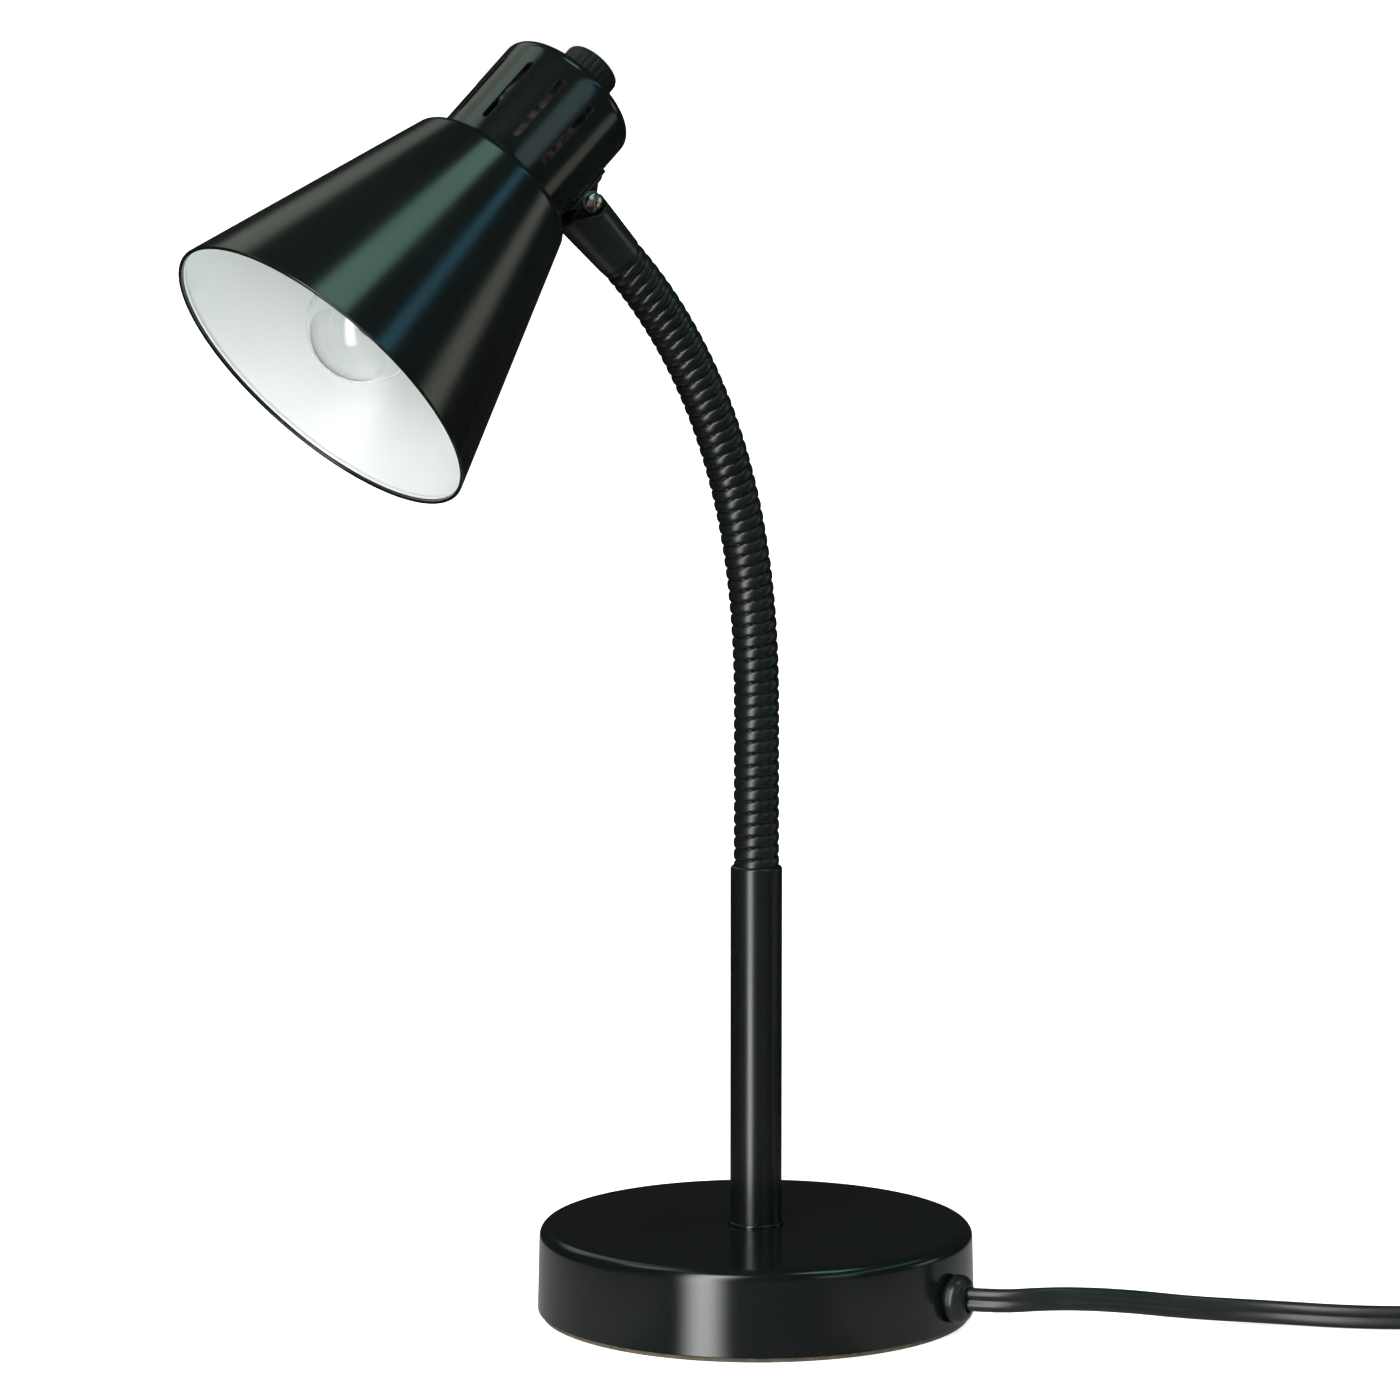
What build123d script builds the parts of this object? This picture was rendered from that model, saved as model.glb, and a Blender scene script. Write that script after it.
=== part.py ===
"""Gooseneck desk lamp: a weighted round base, a tube stem, a ribbed flexible neck and a tilting head.

Millimetres, +Z up. The origin is the middle of the base's underside. The neck and the head lie in the
XZ plane at rest and the head reaches towards -X. Every piece is one node, written as one STEP file.
"""
from build123d import *
from math import atan2, cos, degrees, pi, radians, sin, sqrt, tan
import os

# ---------------------------------------------------------------- driving dimensions: fits
fit_gap = 0.05            # radial play of a shaft, a screw or a spigot in its hole
part_gap = 0.3            # air between pieces that only lie near each other
press_depth = 0.6         # how far a cord end is pushed into its fitting

# ---------------------------------------------------------------- driving dimensions: base
base_radius = 67.8        # cover, at its lower edge
base_height = 28.0        # top of the cover above the table
base_draft = 1.4          # degrees that the side wall leans in
base_edge_radius = 3.5    # rounded top edge
cover_wall = 1.2
pad_thickness = 1.5
pad_inset = 1.2           # the pad stops this far inside the cover's edge
weight_height = 14.0      # cast disc
weight_boss_radius = 22.0
nut_recess_radius = 13.0
nut_recess_depth = 9.0
channel_width = 8.0       # wire channel in the underside of the weight
channel_depth = 6.0
notch_width = 19.0        # notch behind the cord bushing
notch_depth = 26.0

# ---------------------------------------------------------------- driving dimensions: stem
stem_radius = 8.0
stem_wall = 1.2
stem_length = 112.7
stem_lip = 1.6            # rounded and rolled-in top end
nipple_radius = 5.0       # hollow threaded pipe that clamps the base
nipple_bore = 3.1
nipple_below = 4.6        # lower end above the table
plug_length = 14.0        # plug in the foot of the stem
ferrule_length = 16.0     # plug that holds the neck in the top of the stem
nut_across_flats = 16.0
nut_thickness = 5.0
washer_thickness = 1.2
washer_radius = 9.5
foot_ring_height = 1.0    # thin ring that the stem stands in
foot_ring_width = 0.7

# ---------------------------------------------------------------- driving dimensions: gooseneck
neck_radius = 7.05        # over the turns
neck_groove = 1.0         # depth between two turns
neck_bore = 3.2
turn_pitch = 3.672
turn_crest = 1.5          # flat on top of each turn
turns_per_segment = 5
segment_count = 11
segment_end_angle = 6.5   # slope of a segment's end faces, half of the bend that they leave room for
segment_end_gap = 0.12
neck_straight = 45.0      # the neck is upright this far up, then it curves forward
neck_end_lean = 46.0      # degrees from upright at its upper end
neck_lean_growth = 1.35   # above 1 the curve tightens towards the head

# ---------------------------------------------------------------- driving dimensions: neck end and pivot
sleeve_radius = 8.2       # at its wide end, from the neck's own radius at the neck
sleeve_lean = 45.5
sleeve_corner = 0.5       # its long side ends this far past the pivot's level, beside the cup
pivot_reach = 22.7        # from the last neck joint to the pivot screw, along the sleeve
pivot_offset = 2.65       # the screw sits this far above the middle of the sleeve
tongue_thickness = 8.0
tongue_tip_radius = 2.9
ear_thickness = 1.2
ear_tip_radius = 3.4
ear_end_gap = 0.5         # between an ear's tip and the round part of the sleeve
cheek_slope = 35.0        # slope of the cut that leaves room for the ears when the head dips
bracket_wall = 1.0
bracket_height = 17.0
bracket_foot_angle = 27.0 # half of the angle that the saddle covers on the cup
rivet_angle = 20.0
rivet_radius = 1.3
rivet_head_radius = 2.1
rivet_head_height = 0.7
rivet_tail_gap = 0.12     # the flat tail stays this far off the cup's curved wall
screw_radius = 1.5
screw_head_radius = 2.8
screw_head_height = 1.9
screw_slot_width = 0.8
screw_slot_depth = 0.9
pivot_washer_thickness = 0.5
pivot_nut_across_flats = 5.5
pivot_nut_thickness = 2.4
screw_tail = 0.8          # end of the screw beyond its nut

# ---------------------------------------------------------------- driving dimensions: head
head_dip = 41.9           # degrees that the shade points below level
pivot_on_cup = 18.7       # from the cup's open edge to the pivot, along the head
pivot_from_axis = 26.6    # from the head's axis to the pivot
shade_mouth_radius = 52.75
shade_top_radius = 26.8
shade_length = 82.5
shade_wall = 0.8
shade_shoulder = 4.0
shade_hem = 0.5           # the edge is turned in, and this much thicker
shade_hem_height = 1.4
cup_radius = 22.35
cup_length = 38.0
cup_wall = 0.9
cup_edge_radius = 3.8
vent_width = 1.9
vent_length = 23.0
vent_start = 6.0          # above the cup's open edge
vent_count = 7
vent_pitch = 30.0
vent_turn = 7.0           # the row of vents is turned this far from the side opposite the bracket
wire_hole_angle = 48.0    # of the wires' hole beside the bracket, on the far side from the screw's head
wire_hole_radius = 2.6
knob_radius = 9.0
knob_height = 10.6
knob_gap = 0.4            # between the knob and the cup's end
knob_edge = 1.6
knob_flutes = 24
knob_flute_radius = 0.45
knob_skirt_wall = 1.6
shaft_radius = 3.0
shaft_grip = 6.0          # length of shaft inside the knob
switch_neck_radius = 5.0
switch_nut_radius = 6.6
switch_nut_height = 1.6
switch_radius = 15.0
switch_height = 16.0
socket_radius = 13.6
socket_flange_radius = 18.0
socket_flange_height = 2.2
socket_reach = 36.5       # its open edge lies this far inside the shade, from the cup's open edge
shell_wall = 0.4
shell_floor_gap = 3.5     # floor of the cavity behind the bulb's contact
ring_radius = 18.5
ring_height = 5.0
contact_width = 5.0
contact_thickness = 0.5
bulb_radius = 17.45
bulb_reach = 60.8         # middle of the globe, this far inside the shade from the cup's open edge
bulb_length = 58.7        # from the tip of the globe to the contact
bulb_glass = 0.7
bulb_neck_radius = 8.0
bulb_neck_blend = 9.0     # radius of the hollow curve from the globe to the neck
cap_radius = 8.3
thread_play = 0.15        # between the bulb's cap and the shell
cap_length = 17.0
cap_contact_radius = 3.0
cap_contact_height = 1.6
bulb_stem_radius = 2.6
filament_width = 12.0
filament_radius = 0.35
lead_in_radius = 0.3

# ---------------------------------------------------------------- driving dimensions: mains cord
cord_width = 7.4          # of the flat twin cord, held as a round tube of this diameter
cord_length = 1800.0
cord_height = 11.5        # of the hole in the base above the table
cord_azimuth = -63.6      # degrees from +X to the cord's hole
bushing_flange_radius = 7.5
bushing_flange_height = 5.5
bushing_neck_radius = 6.2
bushing_inner_length = 9.0
bushing_groove = 0.15     # play between the bushing and the edge of its hole
bushing_seat = 0.45       # the flange's flat back stands this far off the curved wall's middle
lead_radius = 1.2         # one insulated wire inside the lamp
lead_spacing = 2.6
lead_bend = 3.0
cord_lead_out = 7.0       # the cord goes straight this far out of its bushing
coil_turns = 6
coil_entry_angle = -126.2 # where the cord runs onto the coil, seen from above
coil_exit_turn = 112.0    # part of a turn between the entry and the exit
coil_columns = 2
coil_layers = 3
coil_centre = (218.4, -135.0)
coil_lead_in = 21.0       # from the last point of the route to the coil
tail_length = 44.0
plug_width = 25.0
plug_depth = 15.0
plug_body_length = 30.0
plug_corner = 3.0
plug_neck_radius = 5.5
plug_neck_length = 9.0
blade_width = 6.35
blade_thickness = 1.5
blade_length = 16.0
blade_spacing = 12.7
blade_tip = 1.4

# ---------------------------------------------------------------- helpers
parts_made = []


def finish(builder, name):
    """Label one finished piece and write its STEP file."""
    builder.part.label = name
    export_step(builder.part, f"parts/{name}.step")
    parts_made.append(name)


def section(origin, radial, axial):
    """Plane whose X is a radius and whose Y is the axis of a turned piece."""
    return Plane(origin=origin, x_dir=radial, z_dir=radial.cross(axial))


def leaning(lean):
    """Direction in the XZ plane that leans forward from upright by an angle in degrees."""
    return Vector(-sin(radians(lean)), 0, cos(radians(lean)))


def across(lean):
    """Direction square to leaning(lean), pointing backward and up."""
    return Vector(cos(radians(lean)), 0, sin(radians(lean)))


os.makedirs("parts", exist_ok=True)
up = Vector(0, 0, 1)
world_axis = Axis((0, 0, 0), (0, 0, 1))
upright_section = section(Vector(0, 0, 0), Vector(1, 0, 0), up)

# ================================================================ base
cover_bottom = pad_thickness
draft = tan(radians(base_draft))
cover_side_height = base_height - cover_bottom
cover_top_radius = base_radius - draft * cover_side_height
cord_direction = Vector(cos(radians(cord_azimuth)), sin(radians(cord_azimuth)), 0)
base_radius_at_cord = base_radius - draft * (cord_height - cover_bottom)
cord_hole = cord_direction * base_radius_at_cord + up * cord_height
bushing_axis_section = section(cord_hole, up, cord_direction)
bushing_axis = Axis(cord_hole, cord_direction)

# Cover: a pressed steel cup with a rounded edge, open below, with the stem's hole and the cord's hole.
with BuildPart() as base_cover:
    with BuildSketch(upright_section):
        with BuildLine():
            Polyline(
                (0, cover_bottom),
                (base_radius, cover_bottom),
                (cover_top_radius, base_height),
                (0, base_height),
                close=True,
            )
        make_face()
    revolve(axis=world_axis)
    fillet(base_cover.edges().filter_by(GeomType.CIRCLE).group_by(Axis.Z)[-1], base_edge_radius)
    offset(amount=-cover_wall, openings=base_cover.faces().sort_by(Axis.Z)[0])
    with BuildSketch(Plane.XY.offset(base_height)):
        Circle(nipple_radius + fit_gap)
    extrude(amount=-2 * cover_wall, mode=Mode.SUBTRACT)
    with BuildSketch(Plane(origin=cord_hole, z_dir=cord_direction)):
        Circle(bushing_neck_radius + bushing_groove)
    extrude(amount=3 * cover_wall, both=True, mode=Mode.SUBTRACT)
finish(base_cover, "base_cover")

# Pad: a thin sheet glued under the weight.
with BuildPart() as base_pad:
    Cylinder(
        base_radius - pad_inset,
        pad_thickness,
        align=(Align.CENTER, Align.CENTER, Align.MIN),
    )
finish(base_pad, "base_pad")

# Weight: a cast disc whose boss carries the cover's top, with a nut recess and a wire channel below.
weight_bottom = pad_thickness + part_gap
weight_radius = cover_top_radius - cover_wall - 2 * part_gap
cover_ceiling = base_height - cover_wall
with BuildPart() as base_weight:
    with BuildSketch(Plane.XY.offset(weight_bottom)):
        Circle(weight_radius)
    extrude(amount=weight_height)
    with BuildSketch(Plane.XY.offset(weight_bottom)):
        Circle(weight_boss_radius)
    extrude(amount=cover_ceiling - weight_bottom)
    with BuildSketch(Plane.XY.offset(weight_bottom)):
        Circle(nipple_radius + fit_gap)
    extrude(amount=base_height, mode=Mode.SUBTRACT)
    with BuildSketch(Plane.XY.offset(weight_bottom)):
        Circle(nut_recess_radius)
    extrude(amount=nut_recess_depth, mode=Mode.SUBTRACT)
    with BuildSketch(Plane(origin=(0, 0, weight_bottom), x_dir=cord_direction, z_dir=up)):
        with Locations((weight_radius / 2, 0)):
            Rectangle(weight_radius, channel_width)
    extrude(amount=channel_depth, mode=Mode.SUBTRACT)
    with BuildSketch(Plane(origin=(0, 0, weight_bottom), x_dir=cord_direction, z_dir=up)):
        with Locations((weight_radius, 0)):
            Rectangle(2 * notch_depth, notch_width)
    extrude(amount=weight_height, mode=Mode.SUBTRACT)
finish(base_weight, "base_weight")

# ================================================================ stem and its clamp
stem_top = base_height + stem_length
stem_bore = stem_radius - stem_wall
with BuildPart() as stem_tube:
    with BuildSketch(upright_section):
        with BuildLine():
            Polyline(
                (stem_bore, base_height),
                (stem_radius, base_height),
                (stem_radius, stem_top),
                (stem_bore, stem_top),
                close=True,
            )
        make_face()
    revolve(axis=world_axis)
    fillet(
        stem_tube.edges().filter_by(GeomType.CIRCLE).group_by(Axis.Z)[-1].sort_by(SortBy.RADIUS)[-1],
        min(stem_lip, 0.9 * stem_wall),
    )
finish(stem_tube, "stem_tube")

# Foot ring: the thin ring around the stem where it stands on the cover.
with BuildPart() as stem_foot_ring:
    with BuildSketch(Plane.XY.offset(base_height)):
        Circle(stem_radius + fit_gap + foot_ring_width)
        Circle(stem_radius + fit_gap, mode=Mode.SUBTRACT)
    extrude(amount=foot_ring_height)
finish(stem_foot_ring, "stem_foot_ring")

# Plug pressed into the stem's foot, which takes the threaded pipe.
with BuildPart() as stem_plug:
    with BuildSketch(Plane.XY.offset(base_height)):
        Circle(stem_bore - fit_gap)
        Circle(nipple_radius + fit_gap, mode=Mode.SUBTRACT)
    extrude(amount=plug_length)
    chamfer(stem_plug.edges().filter_by(GeomType.CIRCLE).group_by(Axis.Z)[-1].sort_by(SortBy.RADIUS)[-1],
            fit_gap * 10)
finish(stem_plug, "stem_plug")

# Threaded pipe: it runs from the plug through the cover and the weight to the nut.
with BuildPart() as threaded_pipe:
    with BuildSketch(Plane.XY.offset(nipple_below)):
        Circle(nipple_radius)
        Circle(nipple_bore, mode=Mode.SUBTRACT)
    extrude(amount=base_height + plug_length - nipple_below)
finish(threaded_pipe, "threaded_pipe")

washer_seat = weight_bottom + nut_recess_depth
with BuildPart() as base_washer:
    with BuildSketch(Plane.XY.offset(washer_seat - washer_thickness)):
        Circle(washer_radius)
        Circle(nipple_radius + fit_gap, mode=Mode.SUBTRACT)
    extrude(amount=washer_thickness)
finish(base_washer, "base_washer")

with BuildPart() as base_nut:
    with BuildSketch(Plane.XY.offset(washer_seat - washer_thickness - nut_thickness)):
        RegularPolygon(nut_across_flats / 2, 6, major_radius=False)
        Circle(nipple_radius + fit_gap, mode=Mode.SUBTRACT)
    extrude(amount=nut_thickness)
finish(base_nut, "base_nut")

# Ferrule: the plug in the top of the stem that the neck's lower end is fixed in.
neck_foot = stem_top + segment_end_gap
with BuildPart() as neck_ferrule:
    with BuildSketch(Plane.XY.offset(stem_top)):
        Circle(stem_bore - fit_gap)
        Circle(neck_bore, mode=Mode.SUBTRACT)
    extrude(amount=-ferrule_length)
finish(neck_ferrule, "neck_ferrule")

# ================================================================ gooseneck
segment_length = turns_per_segment * turn_pitch
neck_length = segment_count * segment_length


def neck_lean(distance):
    """Lean from upright, in degrees, of the neck at a distance along it from its foot."""
    share = max(0.0, distance - neck_straight) / (neck_length - neck_straight)
    return neck_end_lean * share**neck_lean_growth


segment_leans = [neck_lean((index + 0.5) * segment_length) for index in range(segment_count)]
neck_joints = [Vector(0, 0, neck_foot)]
for lean in segment_leans:
    neck_joints.append(neck_joints[-1] + leaning(lean) * segment_length)


def segment_end(radius):
    """Height of a segment's end face at a radius, above the joint that it faces."""
    return segment_end_gap + radius * tan(radians(segment_end_angle))


# Outline of one segment as radius and height: a bored tube with one flat-topped ridge for each turn.
ridge_outline = [(neck_bore, segment_end(neck_bore)), (neck_radius, segment_end(neck_radius))]
for turn in range(1, turns_per_segment):
    groove = turn * turn_pitch
    ridge_outline.append((neck_radius, groove - (turn_pitch - turn_crest) / 2))
    ridge_outline.append((neck_radius - neck_groove, groove))
    ridge_outline.append((neck_radius, groove + (turn_pitch - turn_crest) / 2))
ridge_outline.append((neck_radius, segment_length - segment_end(neck_radius)))
ridge_outline.append((neck_bore, segment_length - segment_end(neck_bore)))

for index, lean in enumerate(segment_leans):
    with BuildPart() as neck_segment:
        with BuildSketch(section(neck_joints[index], across(lean), leaning(lean))):
            with BuildLine():
                Polyline(*ridge_outline, close=True)
            make_face()
        revolve(axis=Axis(neck_joints[index], leaning(lean)))
    finish(neck_segment, f"neck_segment_{index + 1:02d}")

# ================================================================ frames of the neck end and the head
cup_foot = shade_length
pivot_along = cup_foot + pivot_on_cup
sleeve_foot = neck_joints[-1]
sleeve_way = leaning(sleeve_lean)
pivot_point = sleeve_foot + sleeve_way * pivot_reach + across(sleeve_lean) * pivot_offset
head_way = Vector(cos(radians(head_dip)), 0, sin(radians(head_dip)))
neck_side = Vector(sin(radians(head_dip)), 0, -cos(radians(head_dip)))
mouth_centre = pivot_point - head_way * pivot_along - neck_side * pivot_from_axis
head_section = section(mouth_centre, neck_side, head_way)
head_axis = Axis(mouth_centre, head_way)
pivot_plane = section(pivot_point, neck_side, head_way)
sleeve_plane = section(sleeve_foot, across(sleeve_lean), sleeve_way)
pivot_axis = Axis(pivot_point, (0, -1, 0))
ear_inside = tongue_thickness / 2 + fit_gap
ear_outside = ear_inside + ear_thickness


def head_face(distance):
    """Plane square to the head's axis at a distance from the shade's mouth."""
    return Plane(origin=mouth_centre + head_way * distance, x_dir=neck_side, z_dir=head_way)


# Sleeve: the smooth tube end on the neck. Its long side reaches the cup's wall, and beside the pivot it
# is cut down on both faces to a tongue, round the swing of the bracket's ears.
cheek_radius = ear_tip_radius + ear_end_gap
cheek_cut = Vector(pivot_offset, pivot_reach) - Vector(
    sin(radians(cheek_slope)), cos(radians(cheek_slope))) * cheek_radius
beyond_sleeve = 4 * sleeve_radius
cheek_far = cheek_cut + Vector(-cos(radians(cheek_slope)), sin(radians(cheek_slope))) * beyond_sleeve
sleeve_bore_end = pivot_reach - 3 * tongue_tip_radius
with BuildPart() as neck_sleeve:
    with BuildSketch(sleeve_plane):
        with BuildLine():
            Polyline(
                (neck_bore, segment_end(neck_bore)),
                (neck_radius, segment_end(neck_radius)),
                (sleeve_radius, pivot_reach - tongue_tip_radius),
                (sleeve_radius, pivot_reach + tongue_tip_radius),
                (0, pivot_reach + tongue_tip_radius),
                (0, sleeve_bore_end),
                (neck_bore, sleeve_bore_end),
                close=True,
            )
        make_face()
    revolve(axis=Axis(sleeve_foot, sleeve_way))
    with BuildSketch(sleeve_plane):
        with BuildLine():
            Polyline(
                (-sleeve_radius, 0),
                (sleeve_radius, 0),
                (sleeve_radius, pivot_reach - tongue_tip_radius),
                (pivot_offset + tongue_tip_radius, pivot_reach),
                (pivot_offset, pivot_reach + tongue_tip_radius),
                (-sleeve_radius, pivot_reach + sleeve_corner),
                close=True,
            )
        make_face()
        with Locations((pivot_offset, pivot_reach)):
            Circle(tongue_tip_radius)
    extrude(amount=sleeve_radius, both=True, mode=Mode.INTERSECT)
    for side in (1, -1):
        with BuildSketch(sleeve_plane.offset(side * tongue_thickness / 2)):
            with BuildLine():
                Polyline(
                    (pivot_offset, pivot_reach - cheek_radius),
                    (beyond_sleeve, pivot_reach - cheek_radius),
                    (beyond_sleeve, cheek_far.Y),
                    cheek_far,
                    cheek_cut,
                    close=True,
                )
            make_face()
            with Locations((pivot_offset, pivot_reach)):
                Circle(cheek_radius)
        extrude(amount=side * sleeve_radius, mode=Mode.SUBTRACT)
    with BuildSketch(pivot_plane):
        Circle(screw_radius + fit_gap)
    extrude(amount=tongue_thickness, both=True, mode=Mode.SUBTRACT)
finish(neck_sleeve, "neck_sleeve")

# ================================================================ pivot bracket and its fasteners
cup_end = cup_foot + cup_length
cup_bore = cup_radius - cup_wall
bracket_radius = cup_radius + bracket_wall
bracket_half_width = bracket_radius * sin(radians(bracket_foot_angle))
toward_screw_head = Vector(0, -1, 0)


def around(angle):
    """Direction square to the head's axis, turned from the neck's side towards the screw's head."""
    return neck_side * cos(radians(angle)) + toward_screw_head * sin(radians(angle))


def wall_plane(angle, distance, radius):
    """Plane that touches the head's round wall, its Z outward and its X along the head."""
    origin = mouth_centre + head_way * distance + around(angle) * radius
    return Plane(origin=origin, x_dir=head_way, z_dir=around(angle))


# Four rivets hold the bracket, two beside each ear.
rivet_rows = (pivot_along - bracket_height / 4, pivot_along + bracket_height / 4)
rivet_places = [(side * rivet_angle, row) for side in (1, -1) for row in rivet_rows]

# Bracket: a saddle on the cup's wall with two ears that hold the tongue between them.
with BuildPart() as pivot_bracket:
    with BuildSketch(head_face(pivot_along - bracket_height / 2)):
        Circle(bracket_radius)
        Circle(cup_radius, mode=Mode.SUBTRACT)
    extrude(amount=bracket_height)
    with BuildSketch(wall_plane(0, pivot_along, 0)):
        RectangleRounded(bracket_height, 2 * bracket_half_width, bracket_height / 5)
    extrude(amount=bracket_radius, mode=Mode.INTERSECT)
    for side in (1, -1):
        with BuildSketch(pivot_plane.offset(side * ear_inside)):
            with BuildLine():
                Polyline(
                    (cup_radius - pivot_from_axis - bracket_wall, -0.45 * bracket_height),
                    (0, -ear_tip_radius),
                    (0, ear_tip_radius),
                    (cup_radius - pivot_from_axis - bracket_wall, 0.45 * bracket_height),
                    close=True,
                )
            make_face()
            Circle(ear_tip_radius)
        extrude(amount=side * ear_thickness)
    with BuildSketch(head_face(cup_foot)):
        Circle(cup_radius)
    extrude(amount=cup_length, mode=Mode.SUBTRACT)
    with BuildSketch(pivot_plane):
        Circle(screw_radius + fit_gap)
    extrude(amount=2 * ear_outside, both=True, mode=Mode.SUBTRACT)
    for angle, row in rivet_places:
        with BuildSketch(wall_plane(angle, row, cup_bore)):
            Circle(rivet_radius + fit_gap)
        extrude(amount=3 * bracket_wall, mode=Mode.SUBTRACT)
finish(pivot_bracket, "pivot_bracket")

with BuildPart() as bracket_rivets:
    for angle, row in rivet_places:
        with BuildSketch(wall_plane(angle, row, bracket_radius)):
            Circle(rivet_head_radius)
        extrude(amount=rivet_head_height)
        with BuildSketch(wall_plane(angle, row, cup_bore - rivet_tail_gap - rivet_head_height)):
            Circle(rivet_radius)
        extrude(amount=cup_wall + bracket_wall + rivet_tail_gap + rivet_head_height)
        with BuildSketch(wall_plane(angle, row, cup_bore - rivet_tail_gap)):
            Circle(rivet_head_radius)
        extrude(amount=-rivet_head_height)
finish(bracket_rivets, "bracket_rivets")

# Screw: a slotted pan head, a washer under it, and a hexagon nut behind the far ear.
screw_head_base = ear_outside + pivot_washer_thickness
screw_head_top = screw_head_base + screw_head_height
screw_end = ear_outside + pivot_nut_thickness + screw_tail
with BuildPart() as pivot_screw:
    with BuildSketch(pivot_plane.offset(-screw_end)):
        Circle(screw_radius)
    extrude(amount=screw_end + screw_head_base)
    with BuildSketch(pivot_plane.offset(screw_head_base)):
        Circle(screw_head_radius)
    extrude(amount=screw_head_height)
    fillet(pivot_screw.edges().sort_by(pivot_axis)[-1], 0.6 * screw_head_height)
    with BuildSketch(pivot_plane.offset(screw_head_top)):
        Rectangle(3 * screw_head_radius, screw_slot_width, rotation=90)
    extrude(amount=-screw_slot_depth, mode=Mode.SUBTRACT)
finish(pivot_screw, "pivot_screw")

with BuildPart() as pivot_washer:
    with BuildSketch(pivot_plane.offset(ear_outside)):
        Circle(screw_head_radius + pivot_washer_thickness)
        Circle(screw_radius + fit_gap, mode=Mode.SUBTRACT)
    extrude(amount=pivot_washer_thickness)
finish(pivot_washer, "pivot_washer")

with BuildPart() as pivot_nut:
    with BuildSketch(pivot_plane.offset(-ear_outside)):
        RegularPolygon(pivot_nut_across_flats / 2, 6, major_radius=False)
        Circle(screw_radius + fit_gap, mode=Mode.SUBTRACT)
    extrude(amount=-pivot_nut_thickness)
finish(pivot_nut, "pivot_nut")

# ================================================================ socket cup
vent_middle = cup_foot + vent_start + vent_length / 2
vent_angles = [
    180 + vent_turn + (index - (vent_count - 1) / 2) * vent_pitch for index in range(vent_count)
]
with BuildPart() as socket_cup:
    with BuildSketch(head_face(cup_foot)):
        Circle(cup_radius)
    extrude(amount=cup_length)
    fillet(socket_cup.edges().sort_by(head_axis)[-1], cup_edge_radius)
    offset(amount=-cup_wall, openings=socket_cup.faces().sort_by(head_axis)[0])
    with BuildSketch(head_face(cup_end)):
        Circle(switch_neck_radius + fit_gap)
    extrude(amount=-2 * cup_wall, mode=Mode.SUBTRACT)
    for angle in vent_angles:
        with BuildSketch(wall_plane(angle, vent_middle, switch_radius)):
            SlotOverall(vent_length, vent_width)
        extrude(amount=cup_radius, mode=Mode.SUBTRACT)
    for angle, row in rivet_places:
        with BuildSketch(wall_plane(angle, row, switch_radius)):
            Circle(rivet_radius + fit_gap)
        extrude(amount=cup_radius, mode=Mode.SUBTRACT)
    with BuildSketch(wall_plane(-wire_hole_angle, pivot_along, switch_radius)):
        Circle(wire_hole_radius)
    extrude(amount=cup_radius, mode=Mode.SUBTRACT)
finish(socket_cup, "socket_cup")

# ================================================================ shade
shade_slope = (shade_mouth_radius - shade_top_radius) / shade_length
hem_outside = shade_mouth_radius - shade_wall / 2
hem_inside = shade_mouth_radius - shade_wall - shade_hem
with BuildPart() as shade:
    with BuildSketch(head_section):
        with BuildLine():
            Polyline(
                (0, 0),
                (shade_mouth_radius, 0),
                (shade_top_radius, shade_length),
                (0, shade_length),
                close=True,
            )
        make_face()
    revolve(axis=head_axis)
    fillet(shade.edges().filter_by(GeomType.CIRCLE).sort_by(head_axis)[-1], shade_shoulder)
    offset(amount=-shade_wall, openings=shade.faces().sort_by(head_axis)[0])
    with BuildSketch(head_section):
        with BuildLine():
            Polyline(
                (hem_inside, 0),
                (hem_outside, 0),
                (hem_outside - shade_slope * shade_hem_height, shade_hem_height),
                (hem_inside - shade_slope * shade_hem_height, shade_hem_height),
                close=True,
            )
        make_face()
    revolve(axis=head_axis)
    with BuildSketch(head_face(shade_length)):
        Circle(socket_radius + fit_gap)
    extrude(amount=-3 * shade_wall, mode=Mode.SUBTRACT)
finish(shade, "shade")

# Ring: threaded on the socket below the shade's top, which it clamps against the socket's flange.
with BuildPart() as shade_ring:
    with BuildSketch(head_face(shade_length - shade_wall)):
        Circle(ring_radius)
        Circle(socket_radius + fit_gap, mode=Mode.SUBTRACT)
    extrude(amount=-ring_height)
    chamfer(shade_ring.edges().sort_by(head_axis)[0:1], ring_height / 6)
finish(shade_ring, "shade_ring")

# ================================================================ socket and switch
socket_mouth = cup_foot - socket_reach
bulb_centre = cup_foot - bulb_reach
switch_foot = cup_end - cup_wall - switch_height
contact_end = bulb_centre - bulb_radius + bulb_length
cavity_floor = contact_end + shell_floor_gap
shell_bore = cap_radius + thread_play
shell_radius = shell_bore + shell_wall

with BuildPart() as socket_body:
    with BuildSketch(head_face(socket_mouth)):
        Circle(socket_radius)
    extrude(amount=switch_foot - socket_mouth)
    with BuildSketch(head_face(shade_length)):
        Circle(socket_flange_radius)
    extrude(amount=socket_flange_height)
    with BuildSketch(head_face(socket_mouth)):
        Circle(shell_radius + fit_gap)
    extrude(amount=cavity_floor - socket_mouth, mode=Mode.SUBTRACT)
    chamfer(socket_body.edges().filter_by(GeomType.CIRCLE).sort_by(head_axis)[:2], 3 * shell_wall / 2)
finish(socket_body, "socket_body")

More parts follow.
